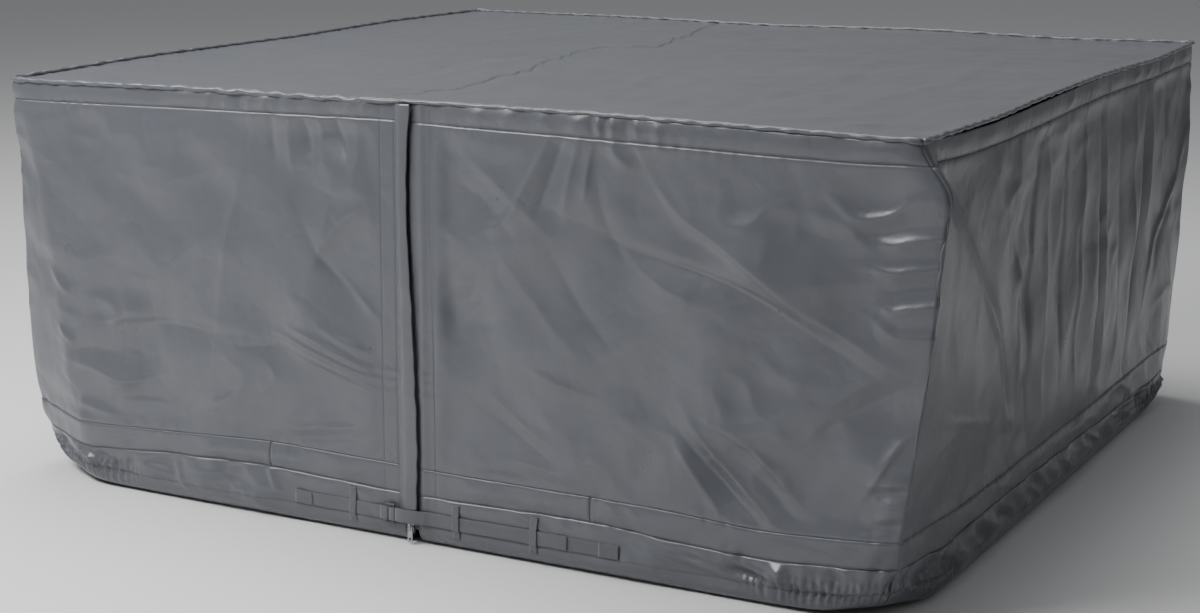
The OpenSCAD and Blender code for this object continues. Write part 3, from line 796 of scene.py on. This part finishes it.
# The hem is turned in below the skirt: v, the height that it takes and how far it goes in
HEM_V = (-0.026, -0.012, 0, 0.010, 0.020, 0.030, 1)
HEM_Z = (0.010, 0.0016, 0.0040, 0.0112, 0.0200, 0.030, 1)
HEM_IN = (0.030, 0.026, 0.0150, 0.0070, 0.0018, 0, 0)
EDGE_GAP = 0.8 * MM           # between the flap's free edge and the right half


def skin(s, v, out=0.0):
    """Points of the cover's outer face at places (s, v), or out in front of it."""
    s, v = np.broadcast_arrays(np.asarray(s, float), np.asarray(v, float))
    drawn = (flap_edge(v) + EDGE_GAP - slot_right) * near(s, slot_right, 0.036)
    s = s + drawn * (s >= slot_right - 1e-6)
    z = np.interp(v, HEM_V, HEM_Z)
    z = z + around(s, TOP_LIFT) * step_up(v, 0.68, 0.772)
    z = z + around(s, UPPER_SHIFT) * near(v, upper_seam, 0.07)
    low_share = near(v, lower_seam, 0.022 + 0.08 * (v > lower_seam))
    z = z + around(s, LOWER_SHIFT) * low_share * (1 - near(v, skirt_seam, 0.02))
    z = z + around(s, SKIRT_SHIFT) * near(v, skirt_seam, 0.026) * step_up(v, 0.03, 0.07)
    from_corner = np.min([np.abs(signed(s - corner)) for corner in CORNERS], axis=0)
    z = z + 0.014 * near(from_corner, 0, 0.13) * (1 - step_up(v, 0.02, 0.09))
    place = on_outline(s, z)
    x, y, nx, ny = (place[..., k] for k in range(4))
    away = relief(s, v, x, y, z) - np.interp(v, HEM_V, HEM_IN) + out
    return np.stack([x + nx * away, y + ny * away, z], axis=-1)


def skin_frame(s, v):
    """Point, direction round the cover, direction upwards and outward normal at (s, v)."""
    step = 1.5 * MM
    here = skin(s, v)
    side = unit(skin(s + step, v) - here)
    up = unit(skin(s, v + step) - here)
    return here, side, up, unit(np.cross(side, up))


# ---- Meshes ----

def make_object(name, points, faces, material, uv=None, smooth=True):
    """A mesh in the scene; uv is a flat place in metres for each point."""
    mesh = bpy.data.meshes.new(name)
    mesh.from_pydata(np.asarray(points).tolist(), [], faces)
    mesh.polygons.foreach_set("use_smooth", [smooth] * len(mesh.polygons))
    if uv is not None:
        layer = mesh.uv_layers.new(name="cloth")
        corner = np.zeros(len(mesh.loops), int)
        mesh.loops.foreach_get("vertex_index", corner)
        layer.data.foreach_set("uv", np.asarray(uv, float)[corner].ravel())
    mesh.materials.append(material)
    obj = bpy.data.objects.new(name, mesh)
    bpy.context.scene.collection.objects.link(obj)
    return obj


def copies(name, points, faces, material):
    """One mesh of many small shapes alike: points (number, corners, 3), and one shape's faces."""
    number, corners = points.shape[:2]
    every = [[f + i * corners for f in face] for i in range(number) for face in faces]
    return make_object(name, points.reshape(-1, 3), every, material, smooth=False)


def grid_normals(points):
    return unit(np.cross(np.gradient(points, axis=1), np.gradient(points, axis=0)))


INNER_UV = 0.013              # sets the weave of a shell's inner face apart from the outer one's


def shell(name, points, across, along, thickness, material):
    """A closed thin shell: points (rows, columns, 3) is its outer face, and across and along
    are the flat places of its columns and rows."""
    rows, columns = points.shape[:2]
    inner = points - grid_normals(points) * thickness
    count = rows * columns
    index = np.arange(count).reshape(rows, columns)
    quads = np.stack([index[:-1, :-1], index[:-1, 1:], index[1:, 1:], index[1:, :-1]], -1)
    quads = quads.reshape(-1, 4)
    edge = np.concatenate([index[0, :], index[1:, -1], index[-1, -2::-1], index[-2:0:-1, 0]])
    after = np.roll(edge, -1)
    rim = np.stack([after, edge, edge + count, after + count], -1)
    faces = np.concatenate([quads, quads[:, ::-1] + count, rim]).tolist()
    uv = np.stack(np.meshgrid(across, along), -1).reshape(-1, 2)
    vertices = np.concatenate([points.reshape(-1, 3), inner.reshape(-1, 3)])
    return make_object(name, vertices, faces, material, np.concatenate([uv, uv + INNER_UV]))


def stations(low, high, step, lines=()):
    """Places from low to high about step apart, with a tight cluster at each line."""
    even = np.linspace(low, high, max(2, round((high - low) / step)) + 1)
    offsets = (-0.005, -0.003, -0.0018, -0.0008, 0, 0.0008, 0.0018, 0.003, 0.005)
    cluster = [line + d for line in lines for d in offsets if low < line + d < high]
    kept = [e for e in even if e in (low, high) or all(abs(e - c) > 0.4 * step for c in cluster)]
    return np.unique(np.round(kept + cluster, 6))


def tube(name, centres, radii, uv_scale, material, sides, squash, wobble):
    """A closed tube along centres, with its own radius at each. squash is its height as a
    share of its width, and wobble(i, turn) adds to the radius."""
    count = len(centres)
    along = unit(np.gradient(centres, axis=0))
    side = unit(np.cross(along, (0.0, 0.0, 1.0)))
    lift = np.cross(side, along)
    turn = np.arange(sides) / sides * 2 * math.pi
    reach = radii[:, None] + wobble(np.arange(count)[:, None], turn[None, :])
    ring = (np.cos(turn)[None, :, None] * side[:, None, :]
            + squash * np.sin(turn)[None, :, None] * lift[:, None, :])
    points = centres[:, None, :] + ring * reach[:, :, None]
    index = np.arange(count * sides).reshape(count, sides)
    after = np.roll(index, -1, axis=1)
    faces = np.stack([index[:-1], index[1:], after[1:], after[:-1]], -1).reshape(-1, 4).tolist()
    faces += [index[0].tolist(), index[-1][::-1].tolist()]
    uv = np.stack(np.meshgrid(turn * uv_scale, lengths_along(centres)), -1)
    uv = uv.reshape(-1, 2)[:, ::-1]
    return make_object(name, points.reshape(-1, 3), faces, material, uv)


def ride(piece, slot, *nodes, body="cover"):
    """A finished piece: the body that it moves with, its finish (not used), and the CAD nodes
    that it stands for."""
    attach(piece, body)
    if nodes:
        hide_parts(*nodes)
    return piece


def skin_shell(name, s_low, s_high, v_low, v_high, material, step, out=0.0, s_lines=(),
               v_lines=(), thickness=CLOTH):
    """A panel of cloth between two places round the cover and two heights. Its mesh is finer
    along s_lines and v_lines."""
    across = stations(s_low, s_high, step, s_lines)
    along = stations(v_low, v_high, step, v_lines)
    return shell(name, skin(*np.meshgrid(across, along), out), across, along, thickness, material)


# Corners of one lockstitch, as shares of its half length, half width and half width again
# outwards, and its faces
STITCH = [(-1, 0, -0.3), (-0.5, 1, 0.6), (-0.5, -1, 0.6), (-0.5, 0, 1.2),
          (0.5, 1, 0.6), (0.5, -1, 0.6), (0.5, 0, 1.2), (1, 0, -0.3)]
STITCH_FACES = [(0, 3, 1), (0, 2, 3), (1, 3, 6, 4), (3, 2, 5, 6), (4, 6, 7), (6, 5, 7),
                (2, 0, 1), (2, 1, 4, 5), (5, 4, 7)]


def stitches(name, path, material, pitch=0.0042, length=0.0030, thick=0.0008, out=0.00025):
    """A row of lockstitches along a path of (s, v) points on the skin."""
    path = np.asarray(path, float)
    lengths = lengths_along(path)
    centres = np.arange(pitch / 2, lengths[-1], pitch)

    def at(distance):
        return np.stack([np.interp(distance, lengths, path[:, axis]) for axis in (0, 1)])

    ds, dv = at(centres + MM) - at(centres - MM)
    here, side, up, normal = skin_frame(*at(centres))
    run = unit(side * ds[:, None] + up * dv[:, None])
    cross = np.cross(normal, run)
    middle = here + normal * out
    half, r = length / 2, thick / 2
    points = [middle + run * a * half + cross * b * r + normal * c * r for a, b, c in STITCH]
    return ride(copies(name, np.stack(points, 1), STITCH_FACES, material), "shell_fabric")


# ---- The shell ----

FRONT_PARTS = (("front_left", -half_w, slot_left), ("front_right", slot_right, half_w))
SIDE_PARTS = (("right", CORNERS[1], CORNERS[2]), ("back", CORNERS[2], CORNERS[3]),
              ("left", CORNERS[3], perimeter - half_w))
WALL_PARTS = FRONT_PARTS + SIDE_PARTS
LOWER_BAND_PARTS = (("front_left_outer", -half_w, band_seam_left),
                    ("front_left_inner", band_seam_left, slot_left),
                    ("front_right_inner", slot_right, band_seam_right),
                    ("front_right_outer", band_seam_right, half_w)) + SIDE_PARTS
ZIP_LINES = (STITCH_LEFT, STITCH_FLAP, STITCH_RIGHT)
UNDER_WELT = 0.772            # the cloth's upper edge, inside the welt
SEAM_EDGE = 3 * MM            # how far a seam's finer mesh is from the seam
LINING_IN = 0.040             # how far the lining ends from the wall's ends


def grid_points(x, y, z):
    """Points of a grid from its coordinates, each given for the whole grid or one value."""
    return np.stack(np.broadcast_arrays(x, y, z), axis=-1)


def make_panels(kind, parts, v_low, v_high, material, step, slot="shell_fabric", held="hung",
                **lines):
    for part, low, high in parts:
        node = f"{kind}_{part}"
        piece = skin_shell(node + "_cloth", low, high, v_low, v_high, material, step, **lines)
        ride(piece, slot, node)


def make_cloth(shell_cloth, band_cloth):
    make_panels("wall", FRONT_PARTS, lower_seam, upper_seam, shell_cloth, 0.0037, s_lines=ZIP_LINES)
    make_panels("wall", SIDE_PARTS, lower_seam, upper_seam, shell_cloth, 0.0056)
    make_panels("upper_band", WALL_PARTS, upper_seam, UNDER_WELT, band_cloth, 0.004, "band_fabric",
                v_lines=[upper_seam + SEAM_EDGE])
    make_panels("lower_band", LOWER_BAND_PARTS, skirt_seam, lower_seam, band_cloth, 0.004,
                "band_fabric", v_lines=[skirt_seam + SEAM_EDGE, lower_seam - SEAM_EDGE])
    make_panels("skirt", WALL_PARTS, HEM_END, skirt_seam, shell_cloth, 0.0036, held="gathered",
                v_lines=[HEM_STITCH])


def make_elastics(material):
    for name, s in zip(("front_left", "front_right", "back_right", "back_left"), CORNERS):
        node = "hem_elastic_" + name
        piece = skin_shell(node + "_band", s - ELASTIC_REACH, s + ELASTIC_REACH, 0.010, 0.032,
                           material, 0.0036, -0.0022, thickness=0.8 * MM)
        ride(piece, "elastic", node)


def make_linings(material):
    for part, low, high in WALL_PARTS:
        node = "lining_" + part
        low_box, high_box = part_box(node)
        ends = (slot_right + 0.033 if part == "front_right" else low + LINING_IN,
                high - LINING_IN, low_box.z, min(high_box.z, 0.76))
        piece = skin_shell(node + "_cloth", *ends, material, 0.009, -0.0085, thickness=2.2 * MM)
        ride(piece, "lining", node)


# The seam across the top, as (y, x)
TOP_SEAM = [(-0.86, -0.124), (-0.72, -0.124), (-0.41, -0.112), (-0.21, -0.140), (0.0, -0.196),
            (0.14, -0.232), (0.22, -0.200), (0.30, -0.140), (0.37, -0.124), (0.55, -0.165),
            (0.717, -0.215), (0.86, -0.225)]
# Folds of the top, as those of the front, with the path as x and y
TOP_FOLDS = [
    (3, 18, 12, 210, -580, 150, -300, 65, 90),
    (-4, 14, 20, -330, -600, -300, -350, -330, -100, -300, 180),
    (4, 12, 16, -380, -500, -370, -250, -400, 50),
    (3.5, 16, 12, -220, -450, -250, -200, -300, 0),
    (3.5, 22, 16, -700, -400, -550, -100, -500, 350),
    (-3, 20, 20, 450, -600, 500, -200, 420, 300),
    (3, 30, 18, 620, -400, 660, 50, 600, 500),
    (3, 16, 20, 200, 200, 340, 420, 400, 680),
    (-3, 16, 16, -100, 300, -60, 500, 20, 740),
]


def top_seam_x(y):
    return smooth_curve(y, TOP_SEAM, -0.9, 0.9, 0.01)


def top_height(x, y):
    """Height of the top sheet's outer face."""
    flat_x, flat_y = np.clip(x, -half_w, half_w), np.clip(y, -half_d, half_d)
    edges = ((half_d + y, flat_x), (half_w - x, RIGHT + flat_y), (half_d - y, BACK - flat_x),
             (half_w + x, LEFT - flat_y))
    shares = [np.exp(-np.abs(distance) / 0.09) for distance, _ in edges]
    lift = sum(share * around(s, TOP_LIFT) for share, (_, s) in zip(shares, edges))
    lift /= np.maximum(1, sum(shares))
    inner = np.min([distance for distance, _ in edges], axis=0)
    soft = step_up(inner, 0, 0.05)
    waves = 3.0 * ripple((x, y), 0.36, 51) - 2.0 * creases((x, y), 0.20, 52)
    waves += 0.8 * ripple((x, y), 0.09, 53) - 2.0
    folds = np.zeros(np.shape(x))
    add_folds(folds, x, y, TOP_FOLDS)
    from_seam = x - top_seam_x(y)
    seam = 2.2 * near(from_seam, 0, 0.020) * ripple((y,), 0.10, 54) - 1.6 * near(from_seam, 0, 0.0016)
    seam += 0.7 * near(from_seam, 0, 0.012) * ripple((y, 0.4 * x), 0.022, 55)
    # gathers run a little way in from the welt
    pucker = 0.9 * near(inner, 0.008, 0.016) * ripple((x, y), 0.022, 56)
    return top_z + lift + (waves * soft + pucker + seam) * MM + folds * soft


def top_edge_x(y, side):
    """Where the top's left or right edge lies."""
    row = outline[int(round(UNDER_WELT / FINE_Z))]
    half = row[np.sign(row[:, 0]) == side]
    half = half[np.argsort(half[:, 1])]
    return np.interp(y, half[:, 1], half[:, 0])


def top_points(x, y, out=0.0):
    x, y = np.broadcast_arrays(x, y)
    return grid_points(x, y, top_height(x, y) + out)


def make_top(material, thread):
    inset = 0.6 * MM
    rows = stations(-half_d + inset, half_d - inset, 0.009)
    seam = top_seam_x(rows)
    near_seam = (0.0012, 0.0026, 0.0045, 0.0072)
    shares = np.unique(np.concatenate([stations(0, 1, 0.0105), near_seam]))
    for name, side in (("left", -1), ("right", 1)):
        edge = top_edge_x(rows, side) - side * inset
        x = seam[:, None] + (edge - seam)[:, None] * shares[::side]
        piece = shell(f"top_panel_{name}_cloth", top_points(x, rows[:, None]), shares[::side] * half_w,
                      rows, CLOTH, material)
        ride(piece, "shell_fabric", f"top_panel_{name}")
    tape_x = np.linspace(-0.014, 0.014, 5)
    points = top_points(seam[:, None] + tape_x, rows[:, None], -4.2 * MM)
    tape = shell("top_seam_tape_cloth", points, tape_x, rows, 0.8 * MM, material)
    ride(tape, "shell_fabric", "top_seam_tape")
    for name, off in (("left", -0.005), ("right", 0.005)):
        make_top_stitches("top_seam_stitches_" + name, off, thread)


def make_top_stitches(name, off, thread):
    y = np.arange(-half_d + 0.01, half_d - 0.01, 0.0046)
    corners = [(-1, -1, -0.2), (-1, 1, -0.2), (1, 1, -0.2), (1, -1, -0.2), (-0.6, 0, 1), (0.6, 0, 1)]
    half_length, half_width = 1.6 * MM, 0.3 * MM
    points = []
    for a, b, c in corners:
        along = y + a * half_length
        points.append(top_points(top_seam_x(along) + off + b * half_width, along,
                                 half_width + c * half_width))
    faces = [(0, 1, 2, 3), (0, 4, 1), (2, 5, 3), (1, 4, 5, 2), (3, 5, 4, 0)]
    ride(copies(name, np.stack(points, 1), faces, thread), "shell_fabric")


# Radius of the welt round the cover, as (s, radius) in millimetres: plump along the left half
# of the front, thin elsewhere, with knots where it bunches
WELT_RADIUS = [(-900, 5.5), (-872, 7), (-850, 4.5), (-800, 5.6), (-500, 5.8), (-400, 5.6), (-370, 7.4),
               (-345, 6), (-325, 7.6), (-300, 5.4), (-120, 5.8), (-85, 6.2), (-55, 4.5), (-20, 4.2),
               (300, 4.2), (360, 4.4), (440, 4.3), (860, 4.3), (885, 6), (900, 6.5), (925, 5),
               (980, 4.2), (1600, 4.2), (1900, 4.5), (2200, 4.3), (2580, 4.4), (2610, 5.6),
               (2660, 4.4), (3500, 4.3), (4360, 4.4), (4410, 5.8), (4460, 4.5), (5200, 4.4)]


def make_welts(material):
    for side, low, high in (("front", CORNERS[0], CORNERS[1]),) + SIDE_PARTS:
        s = np.linspace(low, high, round((high - low) / 0.006))
        radius = around(s, WELT_RADIUS, 0.008)
        radius = radius * (1 + 0.10 * ripple((s,), 0.03, 61) + 0.06 * ripple((s,), 0.012, 62))
        place = on_outline(s, np.full(s.shape, UNDER_WELT))
        x, y, nx, ny = (place[:, k] for k in range(4))
        out = 0.0012 + 0.0009 * ripple((s,), 0.05, 63)
        z = top_z + around(s, TOP_LIFT) + 0.0012 + 0.0008 * ripple((s,), 0.06, 64)
        centres = np.stack([x + nx * out, y + ny * out, z], axis=1)

        def wobble(i, turn):
            return 0.07 * radius[:, None] * np.sin(3 * turn + 0.9 * i)

        piece = tube(f"edge_welt_{side}_roll", centres, radius, 0.006, material, 16, 0.92, wobble)
        ride(piece, "shell_fabric", "edge_welt_" + side)


def row(s_low, s_high, v):
    s = np.arange(s_low, s_high, 0.01)
    return np.stack([s, np.full(s.shape, v)], axis=1)


def column(s, v_low, v_high):
    v = np.arange(v_low, v_high, 0.01)
    return np.stack([np.full(v.shape, s), v], axis=1)


def make_shell_stitches(thread):
    edge = 0.0028
    for name, v in (("upper_band", upper_seam + edge), ("lower_band", lower_seam - edge),
                    ("skirt", skirt_seam + edge), ("hem", HEM_STITCH)):
        for part, low, high in (("front_left", -half_w, slot_left - 0.012),
                                ("front_right", slot_right + 0.006, half_w),
                                ("round", half_w, perimeter - half_w)):
            stitches(f"{name}_stitches_{part}", row(low, high, v), thread)
    for name, s in (("left", STITCH_LEFT), ("flap", STITCH_FLAP), ("right", STITCH_RIGHT)):
        stitches(f"zip_stitches_{name}", column(s, HEM_STITCH, UNDER_WELT - 0.006), thread)


# ---- The zip and its flap ----

def paint_node(node, material):
    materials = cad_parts[node].data.materials
    materials.clear()
    materials.append(material)


def make_zip(tape_cloth, teeth, metal):
    thick = 0.9 * MM
    for side in ("left", "right"):
        node = "zip_tape_" + side
        low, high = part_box(node)
        x, z = np.linspace(low.x, high.x, 13), stations(low.z, high.z, 0.008)
        grid_x, grid_z = np.meshgrid(x, z)
        points = grid_points(grid_x, low.y + 0.12 * MM * ripple((grid_z,), 0.09, 71), grid_z)
        ride(shell(node + "_cloth", points, x, z, thick, tape_cloth), "zip_tape", node)
        paint_node("zip_teeth_" + side, teeth)
    # a facing closes the slot above the teeth, where the zip is sewn in under the band
    x = np.linspace(slot_left - 0.012, slot_right + 0.012, 12)
    z = np.linspace(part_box("zip_top_stop")[1].z + 0.002, top_z + 0.006, 12)
    grid_x, grid_z = np.meshgrid(x, z)
    points = grid_points(grid_x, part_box("zip_tape_left")[0].y + 0.0012, grid_z)
    ride(shell("zip_top_facing_cloth", points, x, z, thick, tape_cloth), "zip_tape")
    for node in ("zip_slider", "zip_pull_tab", "zip_top_stop", "zip_end_stop"):
        paint_node(node, metal)


# Across the flap from its sewn edge to its free edge: share of the width, and share of the
# full height in front of the wall
FLAP_SECTION = [(0, 0.06), (0.06, 0.16), (0.13, 0.32), (0.2, 0.55), (0.28, 0.76), (0.36, 0.91),
                (0.45, 0.985), (0.55, 1), (0.65, 1), (0.74, 0.985), (0.82, 0.98), (0.88, 0.985),
                (0.93, 0.97), (0.965, 0.93), (0.985, 0.86), (1, 0.74)]


def make_flap(material):
    foot_low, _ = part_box("zip_flap_foot")
    flap_low, flap_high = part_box("zip_flap")
    hinge = flap_low.x - 0.001
    crown = -flap_low.y - half_d
    z = stations(foot_low.z, flap_high.z + 0.008, 0.0045)
    edge = flap_edge(z) + 0.0006 * ripple((z,), 0.06, 72)
    share, rise = np.transpose(FLAP_SECTION)
    x = hinge + (edge - hinge)[:, None] * share
    zz = np.repeat(z[:, None], len(share), axis=1)
    out = rise * crown * (1 + 0.05 * ripple((zz, 0.3 * x), 0.11, 73))
    # folds of the left half run on over the flap
    for height in (0.320, 0.300, 0.283, 0.47):
        drop = height - 0.25 * (x - hinge)
        out += 1.3 * MM * near(zz, drop, 0.006) * share * (1.2 - share)
    out += 0.35 * MM * ripple((zz, x), 0.020, 74) * near(share, 0.1, 0.25)
    out -= 0.5 * MM * near(share, 0.90, 0.03)
    zz = zz + around(x, TOP_LIFT) * step_up(zz, 0.68, 0.772)
    points = grid_points(x, -half_d - out, zz)
    piece = shell("zip_flap_cloth", points, share * 0.032, z, 1.9 * MM, material)
    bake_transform(piece)
    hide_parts("zip_flap", "zip_flap_foot")


# ---- The strap ----

strap_low, strap_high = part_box("strap_turn")
strap_z = (strap_low.z + strap_high.z) / 2
strap_width = strap_high.z - strap_low.z
bar_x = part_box("ladder_buckle")[0].x + 2.6 * MM
BAR_PITCH = 7 * MM
BAR_OUT = 6.5 * MM            # middle of the buckle's bars, in front of the wall
BAR_R = 1.6 * MM
BAR_CLEAR = 0.35 * MM         # between a bar and the webbing round it
WEBBING = 1.4 * MM            # thickness
STRAP_OUT = 0.4 * MM          # the strap's inner face, in front of the wall
LOW_FACE = BAR_OUT - BAR_R - BAR_CLEAR - WEBBING
HIGH_FACE = BAR_OUT + BAR_R + BAR_CLEAR


def ribbon(name, path, material, share=1.0, z_mid=strap_z, follow=True):
    """A strap that lies along the front, share of the full width wide. path is (x, distance of
    its inner face in front of the wall); if follow is set, it follows the cloth under it."""
    step = 0.004
    x = np.append(np.arange(path[0][0], path[-1][0], step), path[-1][0])
    out = soften(np.interp(x, *np.transpose(path)), 0.006, step)
    across = np.array([-1, -0.97, -0.9, -0.6, -0.2, 0.2, 0.6, 0.9, 0.97, 1]) * strap_width * share / 2
    bulge = np.array([0.35, 0.75, 0.95, 1, 1, 1, 1, 0.95, 0.75, 0.35])
    wave = 0.6 * MM * ripple((x,), 0.16, 81)
    grid_x, grid_z = np.broadcast_arrays(x, z_mid + across[:, None] + wave)
    height = out + WEBBING * bulge[:, None] + 0.12 * MM * ripple((grid_x, grid_z), 0.03, 82)
    if follow:
        middle = skin(x, np.full(x.shape, z_mid))
        stand = soften(-half_d - middle[:, 1], 0.012, step)
        tilt = -half_d - skin(grid_x, grid_z)[..., 1] - stand
        height = height + stand + np.clip(tilt, 0, 0.0022)
    points = grid_points(grid_x, -half_d - height, grid_z)
    return shell(name, points, x, across, WEBBING * 0.9, material)


def half_turn(name, x, side, material):
    """Webbing bent round a bar, on its left (-1) or right (1)."""
    turn = np.linspace(-math.pi / 2, math.pi / 2, 13) * side
    radius = BAR_R + BAR_CLEAR + WEBBING
    across = np.linspace(-strap_width / 2, strap_width / 2, 7)
    points = grid_points(x + side * radius * np.cos(turn),
                         -half_d - BAR_OUT - side * radius * np.sin(turn),
                         strap_z + across[:, None])
    return shell(name, points, turn * radius, across, WEBBING * 0.9, material)


def make_straps(webbing, thread):
    turn_end = strap_high.x
    left_end, right_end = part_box("anchor_strap")[0].x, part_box("long_strap")[1].x
    tail_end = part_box("strap_tail")[1].x
    flap_left, flap_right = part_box("zip_flap")[0].x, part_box("zip_flap")[1].x
    over_flap = -half_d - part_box("zip_flap_foot")[0].y + 0.6 * MM
    second = STRAP_OUT + WEBBING      # a second layer on the first
    doubled = 0.038                   # length of an end that is folded back on itself
    narrow = 0.97

    path = [(left_end, STRAP_OUT), (bar_x - 0.034, STRAP_OUT), (bar_x - 0.012, LOW_FACE),
            (bar_x, LOW_FACE)]
    ride(ribbon("anchor_strap_webbing", path, webbing), "webbing", "anchor_strap")
    path = [(left_end, second), (left_end + doubled, second)]
    ride(ribbon("anchor_strap_doubled_end", path, webbing, narrow), "webbing")
    path = [(bar_x - 0.014, HIGH_FACE - 0.002), (bar_x - 0.011, HIGH_FACE), (bar_x, HIGH_FACE)]
    ride(ribbon("anchor_strap_return", path, webbing, follow=False), "webbing")
    ride(half_turn("anchor_strap_bend", bar_x, 1, webbing), "webbing")

    start = turn_end + 0.8 * MM
    path = [(start, LOW_FACE), (flap_left - 0.006, LOW_FACE), (flap_left + 0.003, over_flap),
            (flap_right + 0.004, over_flap), (flap_right + 0.030, STRAP_OUT + 0.001),
            (flap_right + 0.050, STRAP_OUT), (right_end, STRAP_OUT)]
    ride(ribbon("long_strap_webbing", path, webbing), "webbing", "long_strap")
    path = [(right_end - doubled, second), (right_end, second)]
    ride(ribbon("long_strap_doubled_end", path, webbing, narrow), "webbing")
    lift = WEBBING + 0.4 * MM
    path = [(start, HIGH_FACE), (flap_left - 0.005, HIGH_FACE), (flap_left + 0.003, over_flap + lift),
            (flap_right + 0.0045, over_flap + lift), (flap_right + 0.030, STRAP_OUT + 0.001 + lift),
            (flap_right + 0.050, STRAP_OUT + lift), (tail_end, STRAP_OUT + lift)]
    tail = ribbon("strap_tail_webbing", path, webbing, z_mid=strap_z + 0.6 * MM)
    ride(tail, "webbing", "strap_tail")

    middle_bar = bar_x + BAR_PITCH
    bend = half_turn("strap_turn_bend", middle_bar, -1, webbing)
    ride(bend, "webbing", "strap_turn", body="buckle")
    for name, face_out in (("strap_turn_under", LOW_FACE), ("strap_turn_over", HIGH_FACE)):
        path = [(middle_bar, face_out), (turn_end, face_out)]
        ride(ribbon(name, path, webbing, follow=False), "webbing", body="buckle")
    make_buckle()
    half_x, half_z = doubled / 2 - 3 * MM, strap_width / 2 - 3 * MM
    crossed_box = [(-1, -1), (1, -1), (1, 1), (-1, 1), (-1, -1), (1, 1), (1, -1), (-1, 1)]
    for name, place in (("anchor", left_end + doubled / 2), ("long", right_end - doubled / 2)):
        path = [(place + a * half_x, strap_z + b * half_z) for a, b in crossed_box]
        stitches(f"{name}_box_stitches", path, thread, 0.0030, 0.0024, 0.0005,
                 second + WEBBING + 0.0022)


def make_buckle():
    bm = bmesh.new()
    low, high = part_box("ladder_buckle")
    centre_x = (low.x + high.x) / 2
    rail = 4.5 * MM
    for z in (low.z + rail / 2, high.z - rail / 2):
        for vertex in bmesh.ops.create_cube(bm, size=1.0)["verts"]:
            x, y, up = vertex.co
            vertex.co = (centre_x + x * (high.x - low.x),
                         -half_d - BAR_OUT + y * (2 * BAR_R + 0.4 * MM), z + up * rail)
    bmesh.ops.bevel(bm, geom=bm.edges[:], offset=0.9 * MM, segments=3, profile=0.6, affect="EDGES")
    length = high.z - low.z - 3 * MM
    for i in range(3):
        bar = bmesh.ops.create_cone(bm, cap_ends=True, segments=28, radius1=BAR_R, radius2=BAR_R,
                                    depth=length)
        for vertex in bar["verts"]:
            vertex.co.x += bar_x + i * BAR_PITCH
            vertex.co.y += -half_d - BAR_OUT
            vertex.co.z += strap_z
    mesh = bpy.data.meshes.new("ladder_buckle_moulding")
    bm.to_mesh(mesh)
    bm.free()
    # the narrow faces are the bars and the bevels
    smooth = [len(p.vertices) == 4 and p.area < 6e-6 for p in mesh.polygons]
    mesh.polygons.foreach_set("use_smooth", smooth)
    mesh.materials.append(moulded("buckle_plastic", (0.045, 0.046, 0.050), 0.42))
    obj = bpy.data.objects.new("ladder_buckle_moulding", mesh)
    bpy.context.scene.collection.objects.link(obj)
    ride(obj, "moulded_plastic", "ladder_buckle", body="buckle")


def make_loops(webbing, thread):
    step = 2.2 * MM
    for name, layers in (("left", 1), ("middle", 2), ("right", 2)):
        node = "belt_loop_" + name
        low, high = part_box(node)
        over = (0.4 + 1.8 * layers + 0.4) * MM
        v = np.arange(low.z, high.z + 0.001, step)
        knots = [(low.z, 0.0003), (0.0345, 0.0004), (0.0385, over), (0.0655, over),
                 (0.0695, 0.0012), (high.z, 0.0003)]
        out = soften(np.interp(v, *np.transpose(knots)), 0.0016, step)
        s = np.linspace(low.x, high.x, 8)
        middle = skin(np.full(v.shape, (low.x + high.x) / 2), v)
        depth = -half_d - soften(-half_d - middle[:, 1], 0.004, step) - out - 0.0012
        points = grid_points(s, depth[:, None], middle[:, 2:])
        ride(shell(node + "_webbing", points, s, v, 1.1 * MM, webbing), "webbing", node)
        for place, v_at in (("low", low.z + 0.005), ("high", high.z - 0.005)):
            path = row(low.x + 0.001, high.x - 0.001, v_at)
            stitches(f"{node}_tack_{place}", path, thread, 0.0022, 0.0019, 0.0005, 0.0019)


# ---- Everything together ----

shell_cloth = coated_cloth("coated_polyester", (0.080, 0.084, 0.095), (0.102, 0.106, 0.119))
band_cloth = coated_cloth("coated_polyester_band", (0.082, 0.086, 0.097), (0.102, 0.106, 0.119))
thread = webbing_cloth("thread", (0.050, 0.052, 0.058), (0.080, 0.083, 0.090), 0.0008, 0.6)
webbing = webbing_cloth("webbing", (0.070, 0.073, 0.082), (0.105, 0.109, 0.120))
elastic = webbing_cloth("elastic", (0.56, 0.56, 0.54), (0.68, 0.68, 0.66), 0.0012, 0.8)
tape_cloth = webbing_cloth("zip_tape_cloth", (0.050, 0.052, 0.060), (0.075, 0.078, 0.086), 0.0009, 0.8)

make_camera()
make_studio()
make_cloth(shell_cloth, band_cloth)
make_elastics(elastic)
make_linings(lining_cloth())
make_top(shell_cloth, thread)
make_welts(shell_cloth)
make_shell_stitches(thread)
make_zip(tape_cloth, moulded("zip_teeth_plastic", (0.035, 0.036, 0.040), 0.38), painted_zinc())
make_flap(shell_cloth)
make_straps(webbing, thread)
make_loops(webbing, thread)

bpy.context.view_layer.update()
